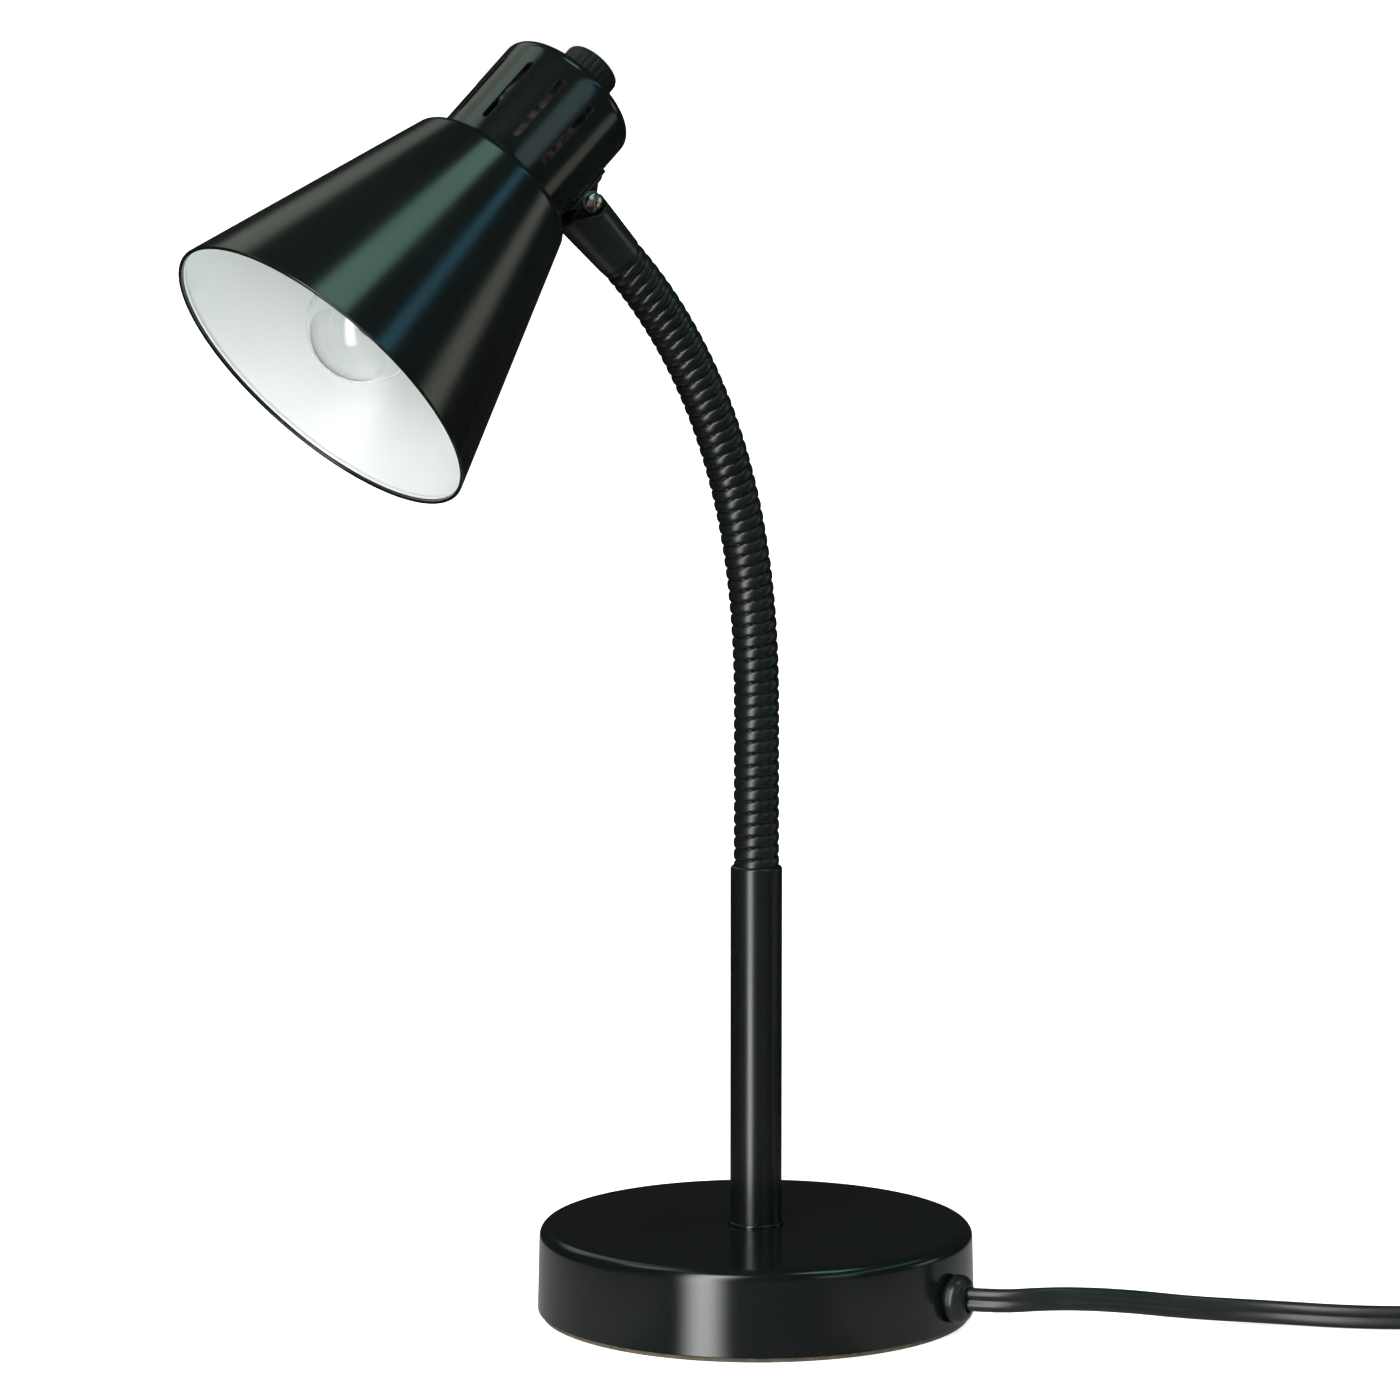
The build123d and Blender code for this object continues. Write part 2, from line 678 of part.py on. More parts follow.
with BuildPart() as screw_shell:
    with BuildSketch(head_face(socket_mouth + 3 * shell_wall)):
        Circle(shell_radius)
        Circle(shell_bore, mode=Mode.SUBTRACT)
    extrude(amount=cavity_floor - socket_mouth - 3 * shell_wall)
finish(screw_shell, "screw_shell")

# Centre contact: a bent brass strip that lies on the cavity's floor and presses on the bulb's contact.
with BuildPart() as centre_contact:
    with BuildSketch(head_section):
        with BuildLine():
            Polyline(
                (-0.6 * shell_bore, cavity_floor - contact_thickness / 2),
                (0.6 * shell_bore, cavity_floor - contact_thickness / 2),
                (cap_contact_radius, contact_end + contact_thickness / 2 + fit_gap),
                (-cap_contact_radius, contact_end + contact_thickness / 2 + fit_gap),
            )
        trace(line_width=contact_thickness)
    extrude(amount=contact_width / 2, both=True)
finish(centre_contact, "centre_contact")

# Switch: a round rotary body whose threaded neck passes through the cup's end.
switch_neck_end = cup_end + switch_nut_height + 2 * part_gap
shaft_foot = switch_foot + switch_height / 2
knob_foot = cup_end + knob_gap
knob_end = knob_foot + knob_height
shaft_end = switch_neck_end + part_gap + shaft_grip
with BuildPart() as switch_body:
    with BuildSketch(head_face(switch_foot)):
        Circle(switch_radius)
    extrude(amount=switch_height)
    with BuildSketch(head_face(switch_foot)):
        Circle(switch_neck_radius)
    extrude(amount=switch_neck_end - switch_foot)
    with BuildSketch(head_face(shaft_foot - part_gap)):
        Circle(shaft_radius + fit_gap)
    extrude(amount=cup_length, mode=Mode.SUBTRACT)
finish(switch_body, "switch_body")

with BuildPart() as switch_nut:
    with BuildSketch(head_face(cup_end)):
        Circle(switch_nut_radius)
        Circle(switch_neck_radius + fit_gap, mode=Mode.SUBTRACT)
    extrude(amount=switch_nut_height)
finish(switch_nut, "switch_nut")

with BuildPart() as switch_shaft:
    with BuildSketch(head_face(shaft_foot)):
        Circle(shaft_radius)
    extrude(amount=shaft_end - shaft_foot)
finish(switch_shaft, "switch_shaft")

# Knob: fluted round the side, rounded at the end, hollow below over the nut.
with BuildPart() as switch_knob:
    with BuildSketch(head_face(knob_foot)):
        Circle(knob_radius)
    extrude(amount=knob_height)
    fillet(switch_knob.edges().sort_by(head_axis)[-1], knob_edge)
    with BuildSketch(head_face(knob_foot)):
        Circle(knob_radius - knob_skirt_wall)
    extrude(amount=switch_neck_end + part_gap - knob_foot, mode=Mode.SUBTRACT)
    with BuildSketch(head_face(knob_foot)):
        Circle(shaft_radius + fit_gap)
    extrude(amount=shaft_end - knob_foot, mode=Mode.SUBTRACT)
    with BuildSketch(head_face(knob_foot)):
        with PolarLocations(knob_radius, knob_flutes):
            RegularPolygon(knob_flute_radius, 4)
    extrude(amount=knob_height - knob_edge, mode=Mode.SUBTRACT)
finish(switch_knob, "switch_knob")

# ================================================================ bulb
cap_end = contact_end - cap_contact_height
cap_foot = cap_end - cap_length
glass_end = cap_foot + cap_length / 4


def glass_outline(inset):
    """Radius, height and turn of the globe-to-neck curve, moved inward by a wall."""
    globe = bulb_radius - inset
    blend = bulb_neck_blend + inset
    reach = bulb_neck_radius - inset + blend
    rise = sqrt((globe + blend) ** 2 - reach**2)
    return globe, blend, reach, rise, degrees(atan2(rise, reach))


with BuildPart() as bulb_glass_shell:
    for inset, mode in ((0, Mode.ADD), (bulb_glass, Mode.SUBTRACT)):
        globe, blend, reach, rise, turn = glass_outline(inset)
        with BuildSketch(head_section):
            with BuildLine():
                CenterArc((0, bulb_centre), globe, -90, 90 + turn)
                CenterArc((reach, bulb_centre + rise), blend, 180 + turn, -turn)
                Polyline(
                    (reach - blend, bulb_centre + rise),
                    (reach - blend, glass_end),
                    (0, glass_end),
                    (0, bulb_centre - globe),
                )
            make_face()
        revolve(axis=head_axis, mode=mode)
finish(bulb_glass_shell, "bulb_glass")

with BuildPart() as bulb_cap:
    with BuildSketch(head_section):
        with BuildLine():
            Polyline(
                (bulb_neck_radius + fit_gap, cap_foot),
                (cap_radius, cap_foot),
                (cap_radius, cap_end - cap_length / 4),
                (0.75 * cap_radius, cap_end - cap_length / 12),
                (cap_contact_radius, cap_end),
                (cap_contact_radius, contact_end),
                (0, contact_end),
                (0, glass_end + fit_gap),
                (bulb_neck_radius + fit_gap, glass_end + fit_gap),
                close=True,
            )
        make_face()
    revolve(axis=head_axis)
finish(bulb_cap, "bulb_cap")

# Glass stem in the neck of the bulb, and the filament on its two lead-in wires.
stem_tip = bulb_centre + 0.75 * bulb_radius
with BuildPart() as bulb_stem:
    with BuildSketch(head_section):
        with BuildLine():
            Polyline(
                (0, stem_tip),
                (0.7 * bulb_stem_radius, stem_tip),
                (bulb_stem_radius, stem_tip + bulb_stem_radius),
                (bulb_stem_radius, glass_end - 2 * bulb_stem_radius),
                (2 * bulb_stem_radius, glass_end),
                (0, glass_end),
                close=True,
            )
        make_face()
    revolve(axis=head_axis)
finish(bulb_stem, "bulb_stem")

with BuildPart() as bulb_filament:
    with BuildLine(head_section):
        filament_line = FilletPolyline(
            (0.5 * bulb_stem_radius, stem_tip - part_gap),
            (filament_width / 2, bulb_centre),
            (0, bulb_centre - filament_width / 6),
            (-filament_width / 2, bulb_centre),
            (-0.5 * bulb_stem_radius, stem_tip - part_gap),
            radius=filament_width / 12,
        )
    with BuildSketch(Plane(origin=filament_line @ 0, z_dir=filament_line % 0)):
        Circle(filament_radius)
    sweep()
finish(bulb_filament, "bulb_filament")

# ================================================================ wires, bushing, mains cord and plug
# Bushing: a domed strain relief that grips the edge of the cord's hole.
bushing_hole = cord_width / 2 + fit_gap
with BuildPart() as cord_bushing:
    with BuildSketch(bushing_axis_section):
        with BuildLine():
            Polyline(
                (bushing_hole, -bushing_inner_length),
                (bushing_neck_radius, -bushing_inner_length),
                (bushing_neck_radius, bushing_seat),
                (bushing_flange_radius, bushing_seat),
                (bushing_flange_radius, bushing_seat + bushing_flange_height / 3),
                (bushing_flange_radius - bushing_flange_height / 2, bushing_flange_height),
                (bushing_hole, bushing_flange_height),
                close=True,
            )
        make_face()
    revolve(axis=bushing_axis)
    fillet(cord_bushing.edges().filter_by(GeomType.CIRCLE).sort_by(bushing_axis)[-3:-2],
           bushing_flange_height / 4)
finish(cord_bushing, "cord_bushing")


def bend_radii(points):
    """Radius of the arc at each corner: 0.45 of its shorter run over the tangent of half the turn."""
    radii = []
    for before, corner, after in zip(points, points[1:], points[2:]):
        run_in, run_out = corner - before, after - corner
        half_turn = radians(run_in.get_angle(run_out) / 2)
        radii.append(0.45 * min(run_in.length, run_out.length) / tan(half_turn))
    return radii


def smooth_route(points):
    """Straight runs joined by tangent arcs, in the order of the points. Call it inside a BuildLine."""
    return FilletPolyline(*points, radius=bend_radii(points))


# Wires inside the lamp: from the bushing down into the weight's channel and up through the stem.
lead_start = base_radius_at_cord - bushing_inner_length
lead_span = lead_start - (weight_radius - notch_depth)
lead_low = pad_thickness + part_gap + lead_radius
lead_route = [
    (lead_start, cord_height),
    (lead_start - lead_span / 3, cord_height),
    (lead_start - lead_span, lead_low),
    (0, lead_low),
    (0, stem_top - ferrule_length - part_gap),
]
with BuildPart() as stem_leads:
    sideways = up.cross(cord_direction) * (lead_spacing / 2)
    for side in (1, -1):
        with BuildLine():
            lead_line = FilletPolyline(
                *[cord_direction * out + up * height + sideways * side for out, height in lead_route],
                radius=lead_bend,
            )
        with BuildSketch(Plane(origin=lead_line @ 0, z_dir=lead_line % 0)):
            Circle(lead_radius)
        sweep(path=lead_line)
finish(stem_leads, "stem_leads")

# Route of the cord from the inner end of its bushing to the coil, chosen by hand.
cord_route = [
    cord_hole - cord_direction * bushing_inner_length,
    cord_hole + cord_direction * (bushing_flange_height + cord_lead_out),
    Vector(52.5, -82.4, 12.6),
    Vector(75.1, -87.1, 9.6),
    Vector(98.1, -92.8, 5.2),
    Vector(117.5, -107.0, 3.9),
    Vector(134.4, -128.0, 3.8),
    Vector(154.8, -144.1, 3.9),
    Vector(176.5, -155.1, 3.8),
]

# The unseen length lies in a neat coil: its radius is what the length and the number of turns ask for.
coil_angle = 360 * coil_turns + coil_exit_turn
route_guess = sum((b - a).length for a, b in zip(cord_route, cord_route[1:])) + coil_lead_in
coil_radius = (cord_length - route_guess - tail_length) / radians(coil_angle)


def on_coil(angle):
    """Point on the middle of the coil's turns at an angle seen from above, at height zero."""
    return Vector(*coil_centre, 0) + Vector(cos(radians(angle)), sin(radians(angle)), 0) * coil_radius


def along_coil(angle):
    """Direction in which the cord runs on the coil at an angle seen from above."""
    return Vector(-sin(radians(angle)), cos(radians(angle)), 0)


cord_route.append(on_coil(coil_entry_angle) + up * (cord_width / 2 + fit_gap))
with BuildPart() as cord_tube:
    with BuildLine():
        cord_line = smooth_route(cord_route)
    with BuildSketch(Plane(origin=cord_line @ 0, z_dir=cord_line % 0)):
        Circle(cord_width / 2)
    sweep()
finish(cord_tube, "cord_tube")

coil_height = coil_layers * cord_width
with BuildPart() as cord_coil:
    with BuildSketch():
        with Locations(coil_centre):
            Circle(coil_radius + coil_columns * cord_width / 2)
            Circle(coil_radius - coil_columns * cord_width / 2, mode=Mode.SUBTRACT)
    extrude(amount=coil_height)
    chamfer(cord_coil.edges().filter_by(GeomType.CIRCLE), cord_width / 4)
finish(cord_coil, "cord_coil")

# The cord's end leaves the top of the coil and comes down to the plug that lies beside it.
exit_angle = coil_entry_angle + coil_exit_turn
tail_way = along_coil(exit_angle)
tail_steps = [(0, coil_height - cord_width / 2), (0.32, 0.68 * coil_height), (0.68, 0.43 * coil_height)]
tail_route = [on_coil(exit_angle) + tail_way * (share * tail_length) + up * height
              for share, height in tail_steps]
tail_route.append(on_coil(exit_angle) + tail_way * tail_length + up * (plug_depth / 2))
with BuildPart() as cord_tail:
    with BuildLine():
        tail_line = smooth_route(tail_route)
    with BuildSketch(Plane(origin=tail_line @ 0, z_dir=tail_line % 0)):
        Circle(cord_width / 2)
    sweep()
finish(cord_tail, "cord_tail")

# Plug: a moulded body with a tapered neck, lying on its broad side, with two flat blades.
plug_foot = on_coil(exit_angle) + tail_way * (tail_length - press_depth) + up * (plug_depth / 2)


def plug_face(distance):
    """Plane square to the plug's axis at a distance from the end of its neck, X level."""
    return Plane(origin=plug_foot + tail_way * distance, x_dir=tail_way.cross(up), z_dir=tail_way)


with BuildPart() as plug_body:
    with BuildSketch(plug_face(0)):
        Circle(plug_neck_radius)
    with BuildSketch(plug_face(plug_neck_length)):
        RectangleRounded(0.72 * plug_width, 0.9 * plug_depth, plug_corner)
    loft()
    with BuildSketch(plug_face(plug_neck_length)):
        RectangleRounded(0.72 * plug_width, 0.9 * plug_depth, plug_corner)
    with BuildSketch(plug_face(plug_neck_length + plug_body_length / 2)):
        RectangleRounded(plug_width, plug_depth, plug_corner)
    loft()
    with BuildSketch(plug_face(plug_neck_length + plug_body_length / 2)):
        RectangleRounded(plug_width, plug_depth, plug_corner)
    extrude(amount=plug_body_length / 2)
    with BuildSketch(plug_face(plug_neck_length + plug_body_length)):
        with GridLocations(blade_spacing, 0, 2, 1):
            Rectangle(blade_thickness, blade_width)
    extrude(amount=-plug_body_length / 3, mode=Mode.SUBTRACT)
finish(plug_body, "plug_body")

with BuildPart() as plug_blades:
    with BuildSketch(plug_face(plug_neck_length + 2 * plug_body_length / 3)):
        with GridLocations(blade_spacing, 0, 2, 1):
            Rectangle(blade_thickness, blade_width)
    extrude(amount=plug_body_length / 3 + blade_length)
    chamfer(plug_blades.edges().sort_by(Axis(plug_foot, tail_way))[-8:].filter_by(GeomType.LINE)
            .filter_by(lambda edge: abs(edge.length - blade_thickness) < fit_gap), blade_tip)
finish(plug_blades, "plug_blades")

# ================================================================ report
tube_error = cord_tube.part.volume / (cord_line.length * pi * (cord_width / 2) ** 2) - 1
print(f"{len(parts_made)} pieces; pivot at {pivot_point}; shade mouth at {mouth_centre}")
print("cord bend radii", [round(radius, 1) for radius in bend_radii(cord_route)])
print("tail bend radii", [round(radius, 1) for radius in bend_radii(tail_route)])
print(f"cord tube {cord_line.length:.1f} long, volume differs by {tube_error:.4%}")
print(f"coil radius {coil_radius:.2f}, coil {coil_radius * radians(coil_angle):.0f} long, "
      f"tail {tail_line.length:.1f}")
print(f"whole cord {cord_line.length + coil_radius * radians(coil_angle) + tail_line.length:.0f}")
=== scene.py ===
import logging
from collections.abc import Callable, Sequence
from dataclasses import dataclass
from enum import Enum
from functools import cached_property
from math import atan2, cos, degrees, pi, radians, sin, sqrt, tan

import bmesh
import bpy
import numpy as np
from mathutils import Matrix
from numpy.typing import NDArray


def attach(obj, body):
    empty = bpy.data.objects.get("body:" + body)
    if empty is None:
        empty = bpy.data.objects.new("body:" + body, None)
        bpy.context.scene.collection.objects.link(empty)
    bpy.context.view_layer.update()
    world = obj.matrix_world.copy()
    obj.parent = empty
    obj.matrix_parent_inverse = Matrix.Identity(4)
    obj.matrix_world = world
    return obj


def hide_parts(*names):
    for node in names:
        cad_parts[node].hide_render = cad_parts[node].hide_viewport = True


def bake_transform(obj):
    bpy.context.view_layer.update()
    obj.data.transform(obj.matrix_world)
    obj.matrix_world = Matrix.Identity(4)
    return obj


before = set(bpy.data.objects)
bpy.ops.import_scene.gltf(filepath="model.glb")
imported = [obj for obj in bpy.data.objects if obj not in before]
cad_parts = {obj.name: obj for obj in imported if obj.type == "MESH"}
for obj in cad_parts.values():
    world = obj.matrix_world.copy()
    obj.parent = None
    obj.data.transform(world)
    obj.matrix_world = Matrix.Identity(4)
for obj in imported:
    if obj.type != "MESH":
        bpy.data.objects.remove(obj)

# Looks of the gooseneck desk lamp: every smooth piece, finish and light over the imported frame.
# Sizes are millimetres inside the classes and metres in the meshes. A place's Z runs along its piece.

Array = NDArray[np.float64]
Shape = Callable[[Array], Array]
Corner = tuple[float, float, float]

MM = 0.001
SIDE = np.array((0.0, 1.0, 0.0))
UP = np.array((0.0, 0.0, 1.0))
# Least radius of a corner in millimetres, which keeps the directions of its arc defined.
LEAST_RADIUS = 2e-4
log = logging.getLogger("lamp")


# ---------------------------------------------------------------- surfaces
@dataclass(frozen=True)
class Place:
    """Where a piece stands: its origin in millimetres and its three directions."""

    origin: Array
    x: Array
    y: Array
    z: Array

    @classmethod
    def along(cls, origin: Sequence[float], z: Sequence[float], x: Sequence[float]) -> "Place":
        """Place from an origin, a Z direction and an X direction square to it.

        Args:
            origin: the piece's own zero, in millimetres.
            z: unit vector along the piece.
            x: unit vector square to z.

        Returns:
            The place, with its Y as the cross product of Z and X.
        """
        z, x = np.asarray(z, float), np.asarray(x, float)
        return cls(np.asarray(origin, float), x, np.cross(z, x), z)

    def put(self, local: Array) -> Array:
        """Points of the piece's own frame, (..., 3), in the lamp's frame."""
        return self.origin + local @ np.stack((self.x, self.y, self.z))


WORLD = Place.along((0, 0, 0), (0, 0, 1), (1, 0, 0))


@dataclass(frozen=True)
class Surface:
    """Points in millimetres, quads that join them, and the number of each quad's finish."""

    points: Array
    quads: NDArray[np.int64]
    kinds: NDArray[np.int64]

    @classmethod
    def grid(cls, points: Array, round_rows: bool = False, round_columns: bool = True,
             kinds: NDArray[np.int64] | None = None) -> "Surface":
        """Quads between neighbours of a grid: (i, j), (i, j+1), (i+1, j+1), (i+1, j).

        Args:
            points: grid of points, (rows, columns, 3).
            round_rows: whether the last row joins the first.
            round_columns: whether the last column joins the first.
            kinds: number of the finish of each row of quads.

        Returns:
            The surface.
        """
        rows, columns = points.shape[:2]
        i = np.arange(rows if round_rows else rows - 1)[:, None]
        j = np.arange(columns if round_columns else columns - 1)[None, :]
        i_next, j_next = (i + 1) % rows, (j + 1) % columns
        quads = np.stack((i * columns + j, i * columns + j_next, i_next * columns + j_next,
                          i_next * columns + j), -1)
        row_kinds = np.zeros(len(i), int) if kinds is None else kinds
        return cls(points.reshape(-1, 3), quads.reshape(-1, 4), np.repeat(row_kinds, quads.shape[1]))

    def __add__(self, other: "Surface") -> "Surface":
        """Both surfaces as one."""
        return Surface(np.vstack((self.points, other.points)),
                       np.vstack((self.quads, other.quads + len(self.points))),
                       np.concatenate((self.kinds, other.kinds)))


def unit(vectors: Array) -> Array:
    """Vectors along the last axis scaled to length one."""
    return vectors / np.maximum(np.linalg.norm(vectors, axis=-1, keepdims=True), 1e-12)


def about_z(radius: Array | float, turn: Array | float, height: Array | float) -> Array:
    """Points (r cos t, r sin t, h) for radii, turns in radians and heights that fit together."""
    return np.stack(np.broadcast_arrays(radius * np.cos(turn), radius * np.sin(turn), height), -1)


def smooth(share: Array) -> Array:
    """Ease from 0 to 1: 3t² - 2t³, held outside."""
    share = np.clip(share, 0.0, 1.0)
    return share * share * (3 - 2 * share)


def arc(centre: tuple[float, float], radius: float, start: float, end: float, steps: int) -> Array:
    """Points of an arc: centre + radius·(cos a, sin a), for a from start to end in degrees."""
    angle = np.radians(np.linspace(start, end, steps + 1))
    return np.stack((centre[0] + radius * np.cos(angle), centre[1] + radius * np.sin(angle)), -1)


def rounded(corners: Sequence[Corner], closed: bool = False, steps: int = 6, hold: float = 0.25) -> Array:
    """Outline through corners, each turned on an arc that touches both of its runs.

    The arc of radius r starts r / tan(half the corner) from it, and its points are centre + r·slerp
    between the two touching directions. A point is held just off each arc, so that shading stays tight.

    Args:
        corners: (x, y, radius) of each corner, with no three in a row on one line.
        closed: whether the last run goes back to the first corner.
        steps: runs on each arc.
        hold: distance of the held points from the arcs in millimetres, at most 0.3 of the straight run.

    Returns:
        The outline's points, (n, 2).
    """
    table = np.asarray(corners, float)
    points, radii = table[:, :2], np.maximum(table[:, 2], LEAST_RADIUS)
    before = unit(np.roll(points, 1, 0) - points)
    after = unit(np.roll(points, -1, 0) - points)
    half = np.arccos(np.clip((before * after).sum(1), -1, 1)) / 2
    reach = radii / np.tan(half)
    if not closed:
        reach[0] = reach[-1] = 0.0
    free = np.linalg.norm(np.roll(points, -1, 0) - points, axis=1) - reach - np.roll(reach, -1)
    hold_after = np.clip(0.3 * free, 0, hold)
    hold_before = np.roll(hold_after, 1)
    centre = points + unit(before + after) * (radii / np.sin(half))[:, None]
    first = unit(points + before * reach[:, None] - centre)
    last = unit(points + after * reach[:, None] - centre)
    turn = (pi - 2 * half)[:, None, None]
    share = np.linspace(0, 1, steps + 1)[None, :, None]
    swing = (np.sin((1 - share) * turn) * first[:, None]
             + np.sin(share * turn) * last[:, None]) / np.sin(turn)
    arcs = centre[:, None] + radii[:, None, None] * swing
    ring = np.concatenate(((points + before * (reach + hold_before)[:, None])[:, None], arcs,
                           (points + after * (reach + hold_after)[:, None])[:, None]), 1)
    if closed:
        return ring.reshape(-1, 2)
    return np.vstack((points[:1], ring[1:-1].reshape(-1, 2), points[-1:]))


def turned(profile: Array, place: Place, sides: int = 96, closed: bool = False,
           kinds: NDArray[np.int64] | None = None) -> Surface:
    """A profile carried round the place's Z: (r cos a, r sin a, h).

    Args:
        profile: (radius, height) of each point, in millimetres.
        place: the axis that it is turned about.
        sides: steps of the full turn.
        closed: whether the profile's end joins its start.
        kinds: number of the finish of each run of the profile.

    Returns:
        The turned surface.
    """
    angle = np.linspace(0, 2 * pi, sides, endpoint=False)
    return Surface.grid(place.put(about_z(profile[:, :1], angle, profile[:, 1:])),
                        round_rows=closed, kinds=kinds)


def slab(outline: Array, low: float, high: float, edge: float, shape: Shape, rings: int = 5,
         steps: int = 4, rows: int = 0) -> Surface:
    """A plate with a rounded rim: rings of its outline, drawn in along their normals on a quarter circle.

    At rim angle b a ring stands in by edge·(1 - sin b), and edge·(1 - cos b) off its face. Inside the rim
    the rings shrink evenly to the outline's middle, apart from one that is held close to the rim.

    Args:
        outline: closed outline, anticlockwise, (n, 2).
        low: height of the lower face.
        high: height of the upper face.
        edge: radius of the rim.
        shape: turns points (x, y, height) into the lamp's frame.
        rings: rings on each face.
        steps: runs of the rim's quarter circle.
        rows: rings on the straight wall between the rims.

    Returns:
        The closed surface.
    """
    run = unit(np.roll(outline, -1, 0) - np.roll(outline, 1, 0))
    normal = np.stack((run[:, 1], -run[:, 0]), -1)
    middle = outline.mean(0)
    share = np.append(np.linspace(0, 0.9, rings), 0.975)[:, None, None]
    inset = edge * (1 - np.sin(np.linspace(0, pi / 2, steps + 1)))
    lift = edge * (1 - np.cos(np.linspace(0, pi / 2, steps + 1)))
    face = middle + (outline - normal * edge - middle) * share
    rim = outline - normal * inset[:, None, None]
    flat = np.concatenate((face, rim))
    rise = np.concatenate((np.zeros(len(share)), lift))[:, None, None] + np.zeros((1, len(outline), 1))
    lower = np.concatenate((flat, low + rise), -1)
    upper = np.concatenate((flat, high - rise), -1)[::-1]
    heights = np.linspace(low + edge, high - edge, rows + 2)[1:-1, None, None]
    wall = np.concatenate((outline + 0 * heights, heights + np.zeros((1, len(outline), 1))), -1)
    return Surface.grid(shape(np.concatenate((lower, wall, upper))))


def lofted(centres: Array, halves: Array, powers: Array, sides: int = 72) -> Array:
    """Rounded sections one after another: centre + half·sign(cos t)·|cos t|^(2/power), and sin for Y.

    Args:
        centres: (x, y, height) of each section's middle.
        halves: half width and half thickness of each section.
        powers: 2 gives an ellipse, and more gives squarer corners.
        sides: points round a section.

    Returns:
        Local points, (sections, sides, 3).
    """
    turn = np.linspace(0, 2 * pi, sides, endpoint=False)
    power = 2 / np.asarray(powers, float)[:, None]
    halves = np.asarray(halves, float)
    x = halves[:, :1] * np.sign(np.cos(turn)) * np.abs(np.cos(turn)) ** power
    y = halves[:, 1:] * np.sign(np.sin(turn)) * np.abs(np.sin(turn)) ** power
    return np.asarray(centres, float)[:, None, :] + np.stack((x, y, 0 * x), -1)


def swept(path: Array, section: Array, up: Array) -> Array:
    """A section carried along a path: path + section x·side + section y·broad.

    Broad is the part of up that is square to the path, and side is square to both.

    Args:
        path: points of the line, (n, 3).
        section: outline square to the line, (m, 2).
        up: direction that the section's Y keeps to.

    Returns:
        Points, (n, m, 3).
    """
    way = unit(np.gradient(path, axis=0))
    broad = unit(up - way * (way @ up)[:, None])
    side = np.cross(way, broad)
    return path[:, None] + side[:, None] * section[None, :, :1] + broad[:, None] * section[None, :, 1:]


def capped(rings: Array) -> Array:
    """Rings with the middle of the first and of the last added, so that both ends close."""
    ends = [np.repeat(ring.mean(0)[None, None], rings.shape[1], 1) for ring in (rings[0], rings[-1])]
    return np.concatenate((ends[0], rings, ends[1]))


# ---------------------------------------------------------------- finishes
def linear(colour: str) -> tuple[float, float, float, float]:
    """An sRGB hex colour as linear light with an alpha of one."""
    value = np.array([int(colour[k:k + 2], 16) / 255 for k in (1, 3, 5)])
    value = np.where(value <= 0.04045, value / 12.92, ((value + 0.055) / 1.055) ** 2.4)
    return (*value.tolist(), 1.0)


def add_node(tree: bpy.types.NodeTree, kind: str, inputs: dict | None = None, **settings) -> bpy.types.Node:
    """Add one node with its settings, values and links.

    Args:
        tree: the node tree that gets the node.
        kind: the node's type without its first word.
        inputs: socket name or number, and the value or the socket that feeds it.
        settings: the node's own properties.

    Returns:
        The new node.
    """
    node = tree.nodes.new("ShaderNode" + kind)
    for name, value in settings.items():
        setattr(node, name, value)
    for name, value in (inputs or {}).items():
        if isinstance(value, bpy.types.NodeSocket):
            tree.links.new(value, node.inputs[name])
        else:
            node.inputs[name].default_value = value
    return node


class Skin(Enum):
    """How a finish's surface was made, which sets the pattern of its relief."""

    SPRAYED = "sprayed and baked"
    MOULDED = "moulded"
    CAST = "cast in sand"
    ROLLED = "rolled or drawn"
    PRESSED = "pressed fibre"
    BLOWN = "blown"


